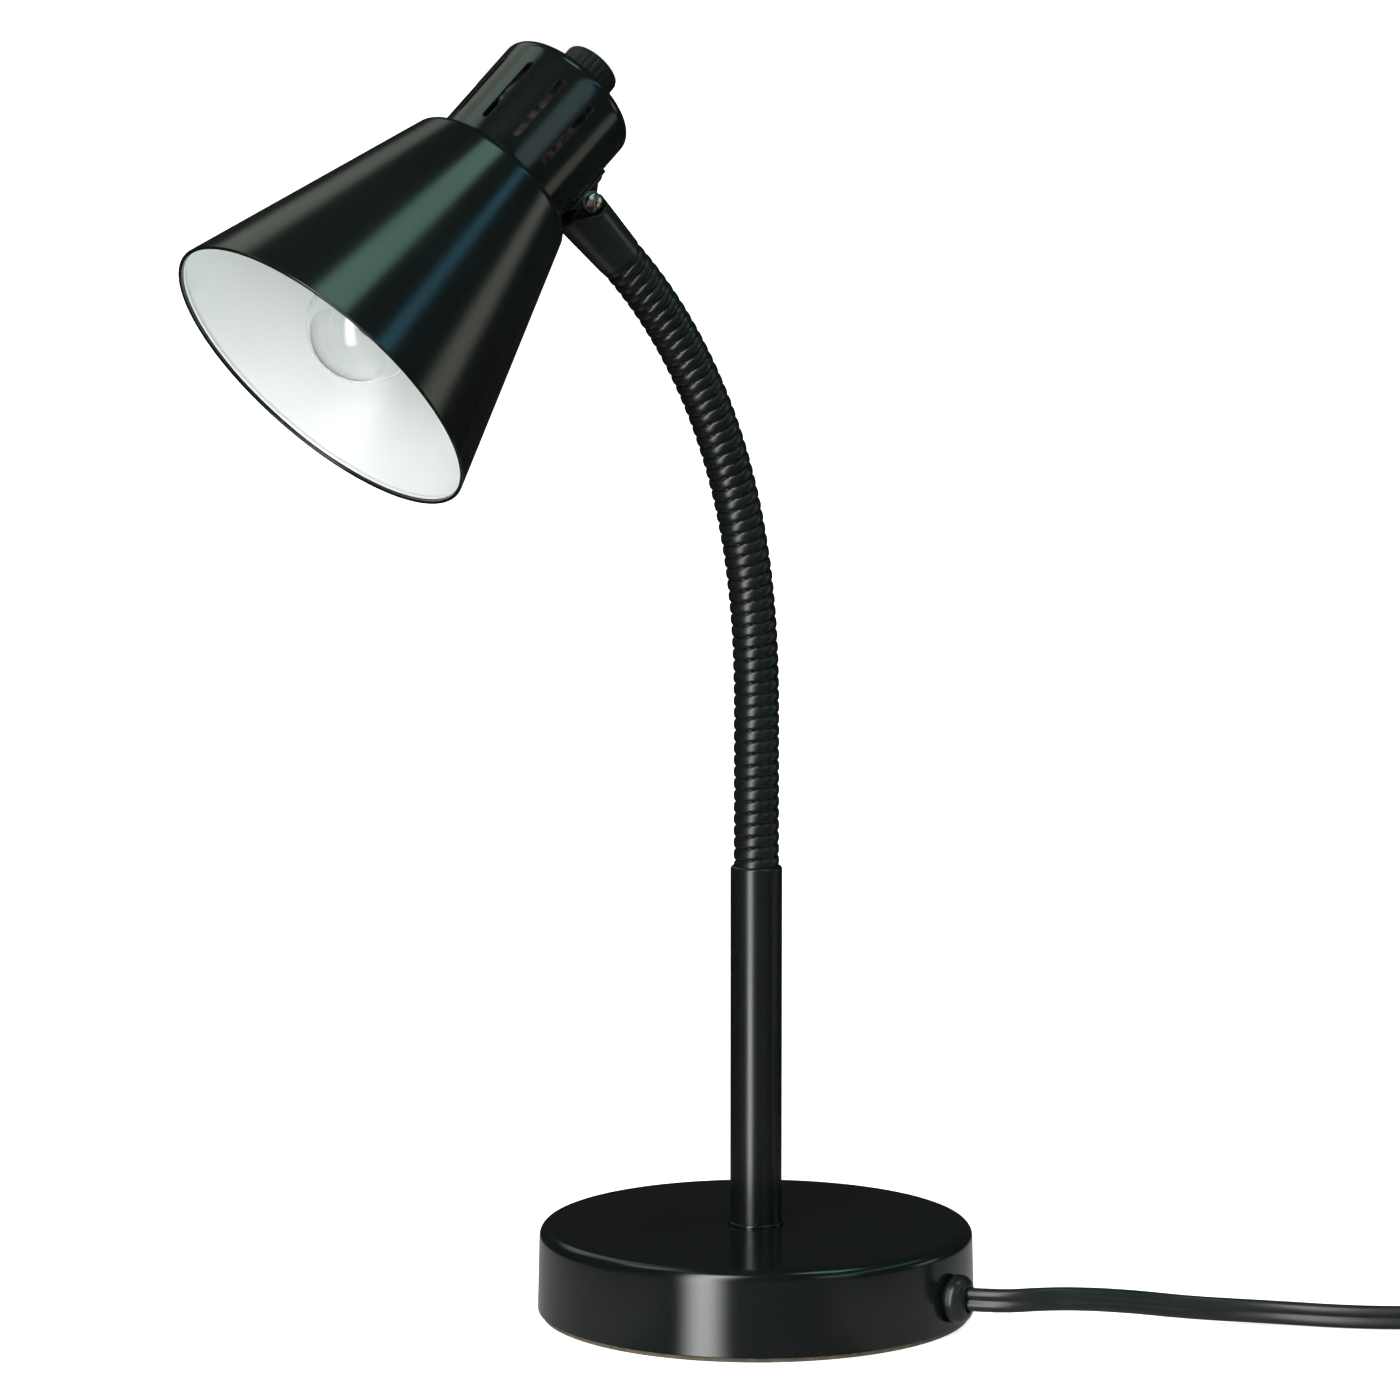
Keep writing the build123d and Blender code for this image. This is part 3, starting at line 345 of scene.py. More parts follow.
@dataclass(frozen=True)
class Finish:
    """One real finish. Lengths are millimetres on the object, colours are sRGB hex."""

    name: str
    slot: str
    colour: str
    tint: str
    skin: Skin
    roughness: tuple[float, float]
    patch: float
    grain: float
    relief: float
    metallic: float = 0.0
    ior: float = 1.5
    clear: float = 0.0

    def pattern(self, tree: bpy.types.NodeTree, coords: bpy.types.NodeSocket) -> bpy.types.NodeSocket:
        """Height pattern of the skin, at one repeat per grain.

        Args:
            tree: the material's node tree.
            coords: the object's own coordinates, in metres.

        Returns:
            The socket that carries the height.
        """
        scale = 1 / (self.grain * MM)
        if self.skin is Skin.CAST:
            return add_node(tree, "TexVoronoi", {"Vector": coords, "Scale": scale},
                            feature="SMOOTH_F1").outputs["Distance"]
        if self.skin is Skin.ROLLED:
            stretched = add_node(tree, "Mapping", {"Vector": coords, "Scale": (scale, scale, scale / 12)})
            return add_node(tree, "TexNoise", {"Vector": stretched.outputs["Vector"], "Scale": 1.0,
                                               "Detail": 3.0}).outputs["Fac"]
        detail = {Skin.SPRAYED: 1.0, Skin.BLOWN: 0.0, Skin.MOULDED: 3.0, Skin.PRESSED: 6.0}[self.skin]
        return add_node(tree, "TexNoise", {"Vector": coords, "Scale": scale, "Detail": detail}).outputs["Fac"]

    @cached_property
    def material(self) -> bpy.types.Material:
        """The finish as nodes: two patch noises drive colour and roughness, the skin drives a bump."""
        material = bpy.data.materials.new(self.name)
        material.use_nodes = True
        tree = material.node_tree
        shader = tree.nodes["Principled BSDF"]
        coords = add_node(tree, "TexCoord").outputs["Object"]
        broad = add_node(tree, "TexNoise", {"Vector": coords, "Scale": 1 / (self.patch * MM), "Detail": 4.0})
        share = add_node(tree, "MapRange", {"Value": broad.outputs["Fac"],
                                            "From Min": 0.35, "From Max": 0.65})
        colour = add_node(tree, "Mix", {0: share.outputs["Result"], 6: linear(self.colour),
                                        7: linear(self.tint)}, data_type="RGBA")
        wear = add_node(tree, "TexNoise", {"Vector": coords, "Scale": 0.4 / (self.patch * MM), "Detail": 6.0})
        gloss = add_node(tree, "MapRange", {"Value": wear.outputs["Fac"], "From Min": 0.3, "From Max": 0.7,
                                            "To Min": self.roughness[0], "To Max": self.roughness[1]})
        bump = add_node(tree, "Bump", {"Height": self.pattern(tree, coords), "Distance": self.relief * MM,
                                       "Strength": 1.0})
        tree.links.new(colour.outputs[2], shader.inputs["Base Color"])
        tree.links.new(gloss.outputs["Result"], shader.inputs["Roughness"])
        tree.links.new(bump.outputs["Normal"], shader.inputs["Normal"])
        shader.inputs["Metallic"].default_value = self.metallic
        shader.inputs["IOR"].default_value = self.ior
        shader.inputs["Transmission Weight"].default_value = self.clear
        return material


# Stove enamel sprayed on steel and baked: deep greenish black with sharp, slightly wavy reflections.
BLACK_ENAMEL = Finish("black_stove_enamel", "black_enamel", "#0B0F0E", "#0D1211", Skin.SPRAYED,
                      (0.13, 0.18), 30, 1.6, 0.0016)
# The same enamel on the drawn tube, less flowed out: its highlight is wider and softer.
TUBE_ENAMEL = Finish("tube_black_enamel", "black_enamel", "#0B0F0E", "#0D1211", Skin.SPRAYED,
                     (0.25, 0.3), 25, 1.2, 0.0016)
# The same enamel on the spun shade, where its reflections draw long soft streaks.
SHADE_ENAMEL = Finish("shade_black_enamel", "shade_enamel", "#0B0F0E", "#0D1211", Skin.SPRAYED,
                      (0.15, 0.2), 30, 1.6, 0.0016)
# The same enamel on the wound neck, where the turns break it up: satin, so that each turn holds a soft dot.
NECK_ENAMEL = Finish("neck_black_enamel", "black_enamel", "#0C100F", "#0F1413", Skin.SPRAYED,
                     (0.28, 0.36), 12, 0.9, 0.002)
# Same enamel on the stamped joint parts, satin, painted a shade lighter: painted light where they lie in
# shade.
JOINT_ENAMEL_PAINTED_LIGHT = Finish("joint_black_enamel_painted_light", "black_enamel", "#141918", "#181D1B", Skin.SPRAYED,
                      (0.22, 0.28), 9, 0.9, 0.002)
# White baked enamel inside the shade: bright, cool, with a dull sheen that spreads the bulb's light.
WHITE_ENAMEL = Finish("white_baked_enamel", "shade_enamel", "#E3E6E4", "#DFE2E1", Skin.SPRAYED,
                      (0.3, 0.4), 25, 1.4, 0.002)
# Pressed fibre board with wax: the thin brownish line under the base.
FIBRE_PAD = Finish("pressed_fibre_pad", "pad_sheet", "#6E6353", "#584E41", Skin.PRESSED,
                   (0.75, 0.9), 4, 0.5, 0.08)
# Grey iron cast in sand: dark, grainy and dull.
CAST_IRON = Finish("sand_cast_iron", "cast_weight", "#3B3B3C", "#4A4744", Skin.CAST,
                   (0.55, 0.75), 8, 1.2, 0.12, metallic=1.0)
# Zinc-plated steel: pale bluish metal with fine drawing lines.
ZINC_STEEL = Finish("zinc_plated_steel", "zinc_steel", "#C4C6C6", "#B2B6BA", Skin.ROLLED,
                    (0.28, 0.42), 5, 0.4, 0.004, metallic=1.0)
# Bright nickel on a steel screw: warm white metal that catches one strong highlight.
NICKEL_SCREW = Finish("bright_nickel_plate", "nickel_screw", "#D6CFC4", "#C6BFB4", Skin.ROLLED,
                      (0.18, 0.3), 2, 0.3, 0.003, metallic=1.0)
# Wood-filled phenolic resin: blotches of grey beige and brown with a dull polish.
PHENOLIC = Finish("brown_phenolic_resin", "brown_phenolic", "#5A5046", "#B4AB9D", Skin.MOULDED,
                  (0.3, 0.45), 3.5, 0.8, 0.01)
# White urea resin ring: plain, slightly yellow and satin.
UREA_RING = Finish("white_urea_resin", "white_ring", "#E6E3DA", "#DEDACF", Skin.MOULDED,
                   (0.35, 0.45), 6, 0.8, 0.005)
# Spring brass strip: yellow metal with fine rolling lines.
BRASS = Finish("rolled_brass", "brass_contact", "#C9A35A", "#B58E49", Skin.ROLLED,
               (0.25, 0.4), 3, 0.3, 0.004, metallic=1.0)
# Tinned brass of a bulb's cap: grey metal, a little dulled.
CAP_METAL = Finish("tinned_brass_cap", "cap_metal", "#BDB9AF", "#A8A498", Skin.ROLLED,
                   (0.25, 0.42), 3, 0.35, 0.004, metallic=1.0)
# Blown soda-lime glass: clear, with very slow waves.
CLEAR_GLASS = Finish("blown_soda_glass", "bulb_clear_glass", "#FFFFFF", "#FCFEFD", Skin.BLOWN,
                     (0.0, 0.02), 12, 7.0, 0.004, ior=1.45, clear=1.0)
# Drawn tungsten: dark grey wire.
TUNGSTEN = Finish("drawn_tungsten", "filament_wire", "#77746F", "#625F5B", Skin.ROLLED,
                  (0.35, 0.5), 1, 0.1, 0.002, metallic=1.0)
# Black phenolic knob: dull black that barely shows its flutes.
KNOB_BLACK = Finish("black_moulded_phenolic", "black_knob", "#0A0E0D", "#0D1211", Skin.MOULDED,
                    (0.38, 0.46), 5, 0.6, 0.003, ior=1.36)
# Soft vinyl bushing: smooth black with a wide soft highlight.
BUSHING_BLACK = Finish("black_soft_vinyl", "black_bushing", "#121615", "#171B1A", Skin.MOULDED,
                       (0.26, 0.36), 4, 0.5, 0.004)
# Extruded vinyl cord: satin black with two bright ridges.
CORD_BLACK = Finish("black_vinyl_cord", "black_cord", "#141817", "#191D1C", Skin.MOULDED,
                    (0.28, 0.38), 8, 0.7, 0.004)
# Moulded vinyl plug: finely grained satin black.
PLUG_BLACK = Finish("black_moulded_vinyl", "black_plug", "#1A1E1D", "#202322", Skin.MOULDED,
                    (0.38, 0.5), 6, 0.5, 0.012)
# Nickel-plated brass blades: smooth pale metal.
PLUG_METAL = Finish("nickel_plated_blades", "plug_metal", "#CFCBBF", "#BFB9AA", Skin.ROLLED,
                    (0.2, 0.32), 3, 0.3, 0.003, metallic=1.0)


# ---------------------------------------------------------------- pieces
def put_in_scene(name: str, data: bpy.types.ID) -> bpy.types.Object:
    """A new object of this data, linked to the scene."""
    thing = bpy.data.objects.new(name, data)
    bpy.context.scene.collection.objects.link(thing)
    return thing


def make_piece(name: str, surface: Surface, finishes: Sequence[Finish], replaced: Sequence[str] = (),
               body: str | None = None, sharp: float = 34.0) -> bpy.types.Object:
    """Put a surface into a mesh, close its seams, dress it and hand it to its body.

    Args:
        name: the piece's name.
        surface: its points and quads, in millimetres.
        finishes: finish of each number that the surface's quads carry.
        replaced: CAD nodes that it stands for.
        body: CAD body that it rides on, or None to leave it with none.
        sharp: angle in degrees past which an edge is shaded as an edge.

    Returns:
        The new object.
    """
    mesh = bpy.data.meshes.new(name)
    mesh.from_pydata((surface.points * MM).tolist(), [], surface.quads.tolist())
    mesh.polygons.foreach_set("material_index", surface.kinds.astype(np.int32))
    work = bmesh.new()
    work.from_mesh(mesh)
    bmesh.ops.remove_doubles(work, verts=work.verts, dist=2e-6)
    bmesh.ops.recalc_face_normals(work, faces=work.faces)
    work.to_mesh(mesh)
    work.free()
    mesh.shade_smooth()
    mesh.set_sharp_from_angle(angle=radians(sharp))
    for finish in finishes:
        mesh.materials.append(finish.material)
    piece = put_in_scene(name, mesh)
    if replaced:
        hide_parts(*replaced)
    if body:
        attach(piece, body)
    log.info("%s: %d faces", name, len(mesh.polygons))
    return piece


def turn_piece(name: str, corners: Sequence[Corner], place: Place, finish: Finish, node: str,
               body: str = "head", closed: bool = True, sides: int = 96, steps: int = 6) -> bpy.types.Object:
    """Make a piece of one finish that stands for one node: rounded corners turned about a place's Z.

    Args:
        name: the piece's name.
        corners: (radius, height, rounding) of each corner.
        place: the axis.
        finish: its finish.
        node: the CAD node that it stands for.
        body: the CAD body that it rides on.
        closed: whether the profile goes back to its first corner, as a ring's does.
        sides: steps of the full turn.
        steps: runs on each corner's arc.

    Returns:
        The new object.
    """
    profile = rounded(corners, closed=closed, steps=steps)
    return make_piece(name, turned(profile, place, sides, closed=closed), [finish], [node], body)


def dress_nodes(finish: Finish, *nodes: str) -> None:
    """Give CAD nodes that stay their finish."""
    for node in nodes:
        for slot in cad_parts[node].material_slots:
            slot.material = finish.material
        log.info("%s: dressed as %s", node, finish.name)


@dataclass(frozen=True)
class Base:
    """Weighted round base: pressed cover, fibre pad and the hidden clamp."""

    radius: float = 67.8
    height: float = 28.0
    draft: float = 1.4
    edge: float = 3.5
    wall: float = 1.2
    pad: float = 1.5
    pad_inset: float = 1.2
    hole: float = 5.1

    @property
    def top_radius(self) -> float:
        """Radius of the cover where its side would meet its top."""
        return self.radius - tan(radians(self.draft)) * (self.height - self.pad)

    def build(self) -> None:
        """Make the cover and the pad, and dress what they hide."""
        inner = self.wall / cos(radians(self.draft))
        turn_piece("base_cover_shell", [
            (self.hole, self.height, 0.1),
            (self.top_radius, self.height, self.edge),
            (self.radius, self.pad, 0.3),
            (self.radius - inner, self.pad, 0.2),
            (self.top_radius - inner, self.height - self.wall, self.edge - self.wall),
            (self.hole, self.height - self.wall, 0.1),
        ], WORLD, BLACK_ENAMEL, "base_cover", "base", sides=192, steps=10)
        rim = self.radius - self.pad_inset
        turn_piece("base_fibre_pad", [
            (0, 0, 0), (rim, 0, 0.35), (rim, self.pad, 0.2), (0, self.pad, 0),
        ], WORLD, FIBRE_PAD, "base_pad", "base", closed=False, sides=128)
        dress_nodes(CAST_IRON, "base_weight")
        dress_nodes(ZINC_STEEL, "base_washer", "base_nut", "threaded_pipe")


@dataclass(frozen=True)
class Stem:
    """Upright tube with a rolled-in top, the ring at its foot and the plugs inside."""

    radius: float = 8.0
    wall: float = 1.2
    foot: float = 28.0
    length: float = 112.7
    lip: float = 1.15
    ring_gap: float = 0.04
    ring_width: float = 0.71
    ring_height: float = 1.0

    @property
    def top(self) -> float:
        """Height of the tube's upper edge."""
        return self.foot + self.length

    def build(self) -> None:
        """Make the tube and the ring, and dress the plugs."""
        bore = self.radius - self.wall
        turn_piece("stem_tube_skin", [
            (self.radius, self.foot, 0.1), (self.radius, self.top, self.lip),
            (bore, self.top, 0.03), (bore, self.foot, 0.1),
        ], WORLD, TUBE_ENAMEL, "stem_tube", "base", steps=8)
        inner = self.radius + self.ring_gap
        outer, ring_top = inner + self.ring_width, self.foot + self.ring_height
        turn_piece("stem_foot_collar", [
            (inner, self.foot, 0.05), (outer, self.foot, 0.05),
            (outer, ring_top, 0.45), (inner, ring_top, 0.1),
        ], WORLD, BLACK_ENAMEL, "stem_foot_ring", "base", steps=5)
        dress_nodes(ZINC_STEEL, "stem_plug", "neck_ferrule")


@dataclass(frozen=True)
class Gooseneck:
    """Wound flexible neck, cut halfway between its joints so that every cut follows one body.

    A winding spans its joint and is left in place with no body. The one at the stiff joint is cut there
    too, into two rigid halves that ride on their bodies, with a core that shows where they open.
    """

    radius: float = 7.05
    groove: float = 0.95
    crown: float = 2.6
    pitch: float = 3.672
    turns_per_segment: int = 5
    segments: int = 11
    straight: float = 45.0
    end_lean: float = 46.0
    growth: float = 1.35
    foot: float = 140.82
    end: tuple[float, float] = (-50.8981, 329.5959)
    past_end: float = 1.0
    skirt: float = 6.4
    skirt_depth: float = 3.0
    stiff_joint: int = 5
    core: float = 5.6
    sides: int = 72
    rows_per_turn: int = 16

    @property
    def step(self) -> float:
        """Distance between two joints."""
        return self.pitch * self.turns_per_segment

    @property
    def length(self) -> float:
        """Length from the stem to the last joint."""
        return self.step * self.segments

    def lean(self, along: Array) -> Array:
        """Lean from upright in radians: end_lean·(share past the straight part)^growth."""
        share = np.clip((along - self.straight) / (self.length - self.straight), 0, 1)
        return np.radians(self.end_lean * share ** self.growth)

    def middle(self, along: Array) -> Array:
        """Centreline: the sum of steps (-sin lean, 0, cos lean), eased onto the last joint.

        Args:
            along: distances from the foot, in millimetres.

        Returns:
            Points, (n, 3).
        """
        fine = np.linspace(0, self.length, 2001)
        lean = self.lean(fine)
        step = (fine[1] - fine[0]) * 0.5
        x = -np.concatenate(([0], np.cumsum((np.sin(lean[1:]) + np.sin(lean[:-1])) * step)))
        z = self.foot + np.concatenate(([0], np.cumsum((np.cos(lean[1:]) + np.cos(lean[:-1])) * step)))
        ease = (fine / self.length) ** 2
        x, z = x + (self.end[0] - x[-1]) * ease, z + (self.end[1] - z[-1]) * ease
        over = np.maximum(along - self.length, 0)
        under = np.minimum(along, 0)
        last = radians(self.end_lean)
        return np.stack((np.interp(along, fine, x) - over * sin(last), 0 * along,
                         np.interp(along, fine, z) + over * cos(last) + under), -1)

    def rings(self, along: Array, radius: Array) -> Array:
        """Circles square to the centreline: middle + r·(cos t·across + sin t·side).

        Args:
            along: distance of each ring from the foot.
            radius: radius of each point, (rings, sides) or (rings, 1).

        Returns:
            Points, (rings, sides, 3).
        """
        lean = self.lean(along)
        across = np.stack((np.cos(lean), 0 * lean, np.sin(lean)), -1)
        turn = np.linspace(0, 2 * pi, self.sides, endpoint=False)[None, :, None]
        return self.middle(along)[:, None] + radius[..., None] * (np.cos(turn) * across[:, None]
                                                                   + np.sin(turn) * SIDE)

    def wound(self, along: Array) -> Array:
        """Radius of the winding: full on a turn's round back, down by the groove where two turns meet.

        The turn's place is u = 2·frac(along/pitch - angle/360) - 1, and the drop is
        groove·(1 - (1 - |u|^crown)^0.5), so the back is round and the groove is narrow.

        Args:
            along: distance of each ring from the foot.

        Returns:
            Radii, (rings, sides).
        """
        turn = np.arange(self.sides) / self.sides
        u = 2 * np.mod(along[:, None] / self.pitch - turn, 1.0) - 1
        drop = self.groove * (1 - np.sqrt(np.clip(1 - np.abs(u) ** self.crown, 0, 1)))
        return self.radius - drop

    def piece(self, name: str, low: float, high: float, cores: tuple[float, float],
              covered: Sequence[str]) -> bpy.types.Object:
        """Winding between two places on the neck, with a plain core past an end that needs one.

        Args:
            name: the piece's name.
            low: where it starts, from the foot.
            high: where it ends.
            cores: radius of the core below and above, 0 for none.
            covered: CAD nodes that it stands for.

        Returns:
            The new object.
        """
        rows = round((high - low) / self.pitch * self.rows_per_turn)
        along = np.linspace(low, high, rows + 1)
        rings = self.rings(along, self.wound(along))
        if cores[0]:
            below = np.array((low - self.skirt_depth, low))
            rings = np.concatenate((self.rings(below, np.full((2, 1), cores[0])), rings))
        if cores[1]:
            above = np.array((high, high + self.skirt_depth))
            rings = np.concatenate((rings, self.rings(above, np.full((2, 1), cores[1]))))
        return make_piece(name, Surface.grid(capped(rings)), [NECK_ENAMEL], covered, sharp=60)

    def build(self) -> None:
        """Make the pieces: each spans its joint with no body, apart from the two halves at the stiff joint.
        """
        bodies = ["base", *(f"neck_{k:02d}" for k in range(1, self.segments + 1)), "neck_end"]
        for joint in range(self.segments + 1):
            low = max(0.0, (joint - 0.5) * self.step)
            high = min(self.length + self.past_end, (joint + 0.5) * self.step)
            name = f"neck_winding_{joint:02d}"
            if joint == self.stiff_joint:
                halves = ((name + "_lower", low, joint * self.step, (0, self.core)),
                          (name + "_upper", joint * self.step, high, (self.core, 0)))
                for side, (half, foot, top, cores) in enumerate(halves):
                    piece = self.piece(half, foot, top, cores, [f"neck_segment_{joint + side:02d}"])
                    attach(piece, bodies[joint + side])
                continue
            cores = (self.skirt if joint == 0 else 0, self.skirt if joint == self.segments else 0)
            covered = [f"neck_segment_{k:02d}" for k in (joint, joint + 1) if 1 <= k <= self.segments]
            piece = self.piece(name, low, high, cores, covered)
            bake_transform(piece)


@dataclass(frozen=True)
class Pivot:
    """Neck end, bracket and screw of the tilting joint."""

    point: tuple[float, float, float] = (-65.2315, 0.0, 347.3967)
    sleeve_lean: float = 45.5
    head_dip: float = 41.9
    reach: float = 22.7
    offset: float = 2.65
    sleeve_radius: float = 8.2
    sleeve_start: float = 7.2
    sleeve_foot: float = 1.1
    sleeve_corner: float = 0.5
    sleeve_edge: float = 0.45
    bore: float = 6.9
    bore_end: float = 5.0
    cheek_radius: float = 3.9
    cheek_slope: float = 35.0
    tongue: float = 8.0
    tongue_tip: float = 2.9
    tongue_root: float = 4.0
    from_axis: float = 26.6
    along: float = 101.2
    ear: float = 1.2
    ear_tip: float = 3.4
    ear_gap: float = 0.05
    saddle_height: float = 17.0
    saddle_corner: float = 3.4
    saddle_gap: float = 0.02
    saddle_angle: float = 27.0
    saddle_wall: float = 1.0
    cup_radius: float = 22.35
    rivet_angle: float = 20.0
    rivet_shank: float = 1.28
    rivet_head: float = 2.1
    rivet_rise: float = 0.75
    rivet_tail: float = 1.9
    rivet_tail_foot: float = -2.9
    rivet_tail_top: float = -2.3
    screw_radius: float = 1.5
    screw_past_nut: float = 0.8
    head_radius: float = 2.8
    head_height: float = 1.9
    head_fall: float = 0.09
    slot_width: float = 0.8
    slot_floor: float = 1.0
    slot_turn: float = 38.0
    washer: float = 0.5
    washer_gap: float = 0.05
    nut_across: float = 5.5
    nut_height: float = 2.4

    @cached_property
    def sleeve_place(self) -> Place:
        """Frame of the sleeve: Z along it from the last neck joint, X backward and up."""
        lean = radians(self.sleeve_lean)
        way, across = np.array((-sin(lean), 0, cos(lean))), np.array((cos(lean), 0, sin(lean)))
        return Place.along(np.array(self.point) - way * self.reach - across * self.offset, way, across)

    @cached_property
    def head_place(self) -> Place:
        """Frame of the head: Z from the shade's mouth to the knob, X towards the neck."""
        dip = radians(self.head_dip)
        way, neck_side = np.array((cos(dip), 0, sin(dip))), np.array((sin(dip), 0, -cos(dip)))
        mouth = np.array(self.point) - way * self.along - neck_side * self.from_axis
        return Place.along(mouth, way, neck_side)

    @cached_property
    def screw_place(self) -> Place:
        """Frame of the screw: Z towards its head, X towards the neck."""
        return Place.along(self.point, (0, -1, 0), self.head_place.x)

    @property
    def ear_inside(self) -> float:
        """Distance of an ear's inner face from the middle."""
        return self.tongue / 2 + self.ear_gap

    @property
    def ear_outside(self) -> float:
        """Distance of an ear's outer face from the middle."""
        return self.ear_inside + self.ear

    def sleeve_end(self, x: Array) -> Array:
        """Height at which the sleeve ends over x: its slanting end, or the cut round the swing of the ears.

        From the far side the end falls on a line, then on a slope that touches the cut's circle, and is
        level from below the screw on.

        Args:
            x: distance from the sleeve's middle, away from the shade's side.

        Returns:
            Heights along the sleeve.
        """
        slope = radians(self.cheek_slope)
        slant = (self.tongue_tip - self.sleeve_corner) / (self.offset + self.sleeve_radius)
        line = self.reach + self.sleeve_corner + (x + self.sleeve_radius) * slant
        touch = self.offset - self.cheek_radius * sin(slope)
        falling = self.reach - self.cheek_radius * cos(slope) + (touch - x) * tan(slope)
        inside = np.clip(self.cheek_radius ** 2 - np.minimum(x - self.offset, 0) ** 2, 0, None)
        return np.minimum(line, np.where(x < touch, falling, self.reach - np.sqrt(inside)))

    def build_sleeve(self) -> None:
        """Sleeve: a tube that widens evenly to its slanting end, and the flat tongue between its cheeks.

        The tube's rim turns in on a quarter circle, and its end is ruled straight across. The tongue's
        sides keep to the tube: x is held to sqrt(r² - y²), less the rounding of its edges.
        """
        turn, edge = np.linspace(0, 2 * pi, 160, endpoint=False), self.sleeve_edge
        top = self.sleeve_end(self.sleeve_radius * np.cos(turn))
        low, full = self.sleeve_foot, self.reach - self.tongue_tip
        height = low + (top - edge - low) * np.linspace(0, 1, 25)[:, None]
        widened = np.clip((height - low) / (full - low), 0, 1)
        radius = self.sleeve_start + (self.sleeve_radius - self.sleeve_start) * widened
        wall = about_z(radius, turn, height)
        bend = np.linspace(0, pi / 2, 7)[1:, None]
        inset = radius[-1] - edge * (1 - np.cos(bend))
        rim = about_z(inset, turn, top - edge * (1 - np.sin(bend)))
        across = np.linspace(1, 0, 8)[1:, None]
        end = np.stack((rim[-1, :, 0] + 0 * across, rim[-1, :, 1] * across, rim[-1, :, 2] + 0 * across), -1)
        foot = np.array(((self.bore - 0.9, self.bore_end), (self.bore, self.bore_end),
                         (self.bore, low + 0.2), (self.bore + 0.1, low)))
        inner = about_z(foot[:, :1], turn, foot[:, 1:])
        middle = UP * self.bore_end + 0 * inner[:1]
        surface = Surface.grid(self.sleeve_place.put(np.concatenate((middle, inner, wall, rim, end))))
        wide, tip = self.sleeve_radius, self.tongue_tip
        outline = rounded([
            (-wide, full - self.tongue_root, 0.5), (wide, full - self.tongue_root, 0.5), (wide, full, 0.8),
            (self.offset + tip, self.reach + 0.1, 1.2),
            (self.offset + 0.93 * tip, self.reach + tip, 0.93 * tip),
            (self.offset, self.reach + tip, 1.0), (-wide, self.reach + self.sleeve_corner - 0.04, 0.5),
        ], closed=True, steps=10, hold=0.4)

        def between_cheeks(local: Array) -> Array:
            """(x, along, side), with x held inside the tube."""
            side = local[..., 2]
            over = np.clip(np.abs(side) - self.tongue / 2 + edge, 0, edge)
            tube = np.sqrt((self.sleeve_radius - 0.03) ** 2 - side ** 2)
            sunk = 0.3 * np.clip((full - local[..., 1]) / self.tongue_root, 0, 1)
            limit = tube - edge + np.sqrt(edge ** 2 - over ** 2) - sunk
            x = np.clip(local[..., 0], -limit, limit)
            return self.sleeve_place.put(np.stack((x, side, local[..., 1]), -1))

        surface += slab(outline, -self.tongue / 2, self.tongue / 2, edge, between_cheeks, rings=9, rows=13)
        make_piece("neck_end_sleeve", surface, [JOINT_ENAMEL_PAINTED_LIGHT], ["neck_sleeve"], "neck_end")

    def build_bracket(self) -> None:
        """Saddle bent on the cup's wall, and two ears with round tips, each with a rolled rim."""
        wide = radians(self.saddle_angle) * (self.cup_radius + self.saddle_wall)
        half, corner = self.saddle_height / 2, self.saddle_corner
        outline = rounded([(-wide, -half, corner), (wide, -half, corner), (wide, half, corner),
                           (-wide, half, corner)], closed=True, steps=8, hold=1.5)

        def on_cup(local: Array) -> Array:
            """(arc length, along, out) on the cup's wall: (r cos a, r sin a, height), a = arc / r."""
            angle = local[..., 0] / (self.cup_radius + self.saddle_wall)
            return self.head_place.put(about_z(self.cup_radius + local[..., 2], angle,
                                               self.along + local[..., 1]))

        saddle = slab(outline, self.saddle_gap, self.saddle_wall, 0.35, on_cup, rings=9)
        foot, root = self.cup_radius - self.from_axis + 0.3, 0.44 * self.saddle_height
        tip = self.ear_tip
        ear = rounded([(foot, -root, 0.5), (-0.4, -tip, 0.8), (tip, -tip, 0.97 * tip), (tip, tip, 0.97 * tip),
                       (-0.4, tip, 0.8), (foot, root, 0.5)], closed=True, steps=10, hold=0.8)
        for side in (1, -1):
            low, high = sorted((side * self.ear_inside, side * self.ear_outside))
            saddle += slab(ear, low, high, 0.3, self.screw_place.put)
        make_piece("pivot_bracket_saddle", saddle, [JOINT_ENAMEL_PAINTED_LIGHT], ["pivot_bracket"], "head")

    def build_rivets(self) -> None:
        """Four domed rivet heads with their shanks and tails."""
        profile = np.vstack((
            ((0, self.rivet_tail_foot), (self.rivet_tail, self.rivet_tail_foot),
             (self.rivet_tail, self.rivet_tail_top), (self.rivet_shank, self.rivet_tail_top),
             (self.rivet_shank, -0.1), (self.rivet_head, -0.1)),
            arc((0, 0), 1.0, 0, 90, 7) * (self.rivet_head, self.rivet_rise)))
        rivets = []
        for side in (1, -1):
            angle = radians(side * self.rivet_angle)
            out = self.head_place.x * cos(angle) + self.head_place.y * sin(angle)
            for row in (-1, 1):
                seat = self.head_place.put(about_z(self.cup_radius + self.saddle_wall, angle,
                                                   self.along + row * self.saddle_height / 4))
                rivets.append(turned(profile, Place.along(seat, out, self.head_place.z), 32))
        make_piece("bracket_rivet_heads", sum(rivets[1:], rivets[0]), [JOINT_ENAMEL_PAINTED_LIGHT],
                   ["bracket_rivets"], "head")

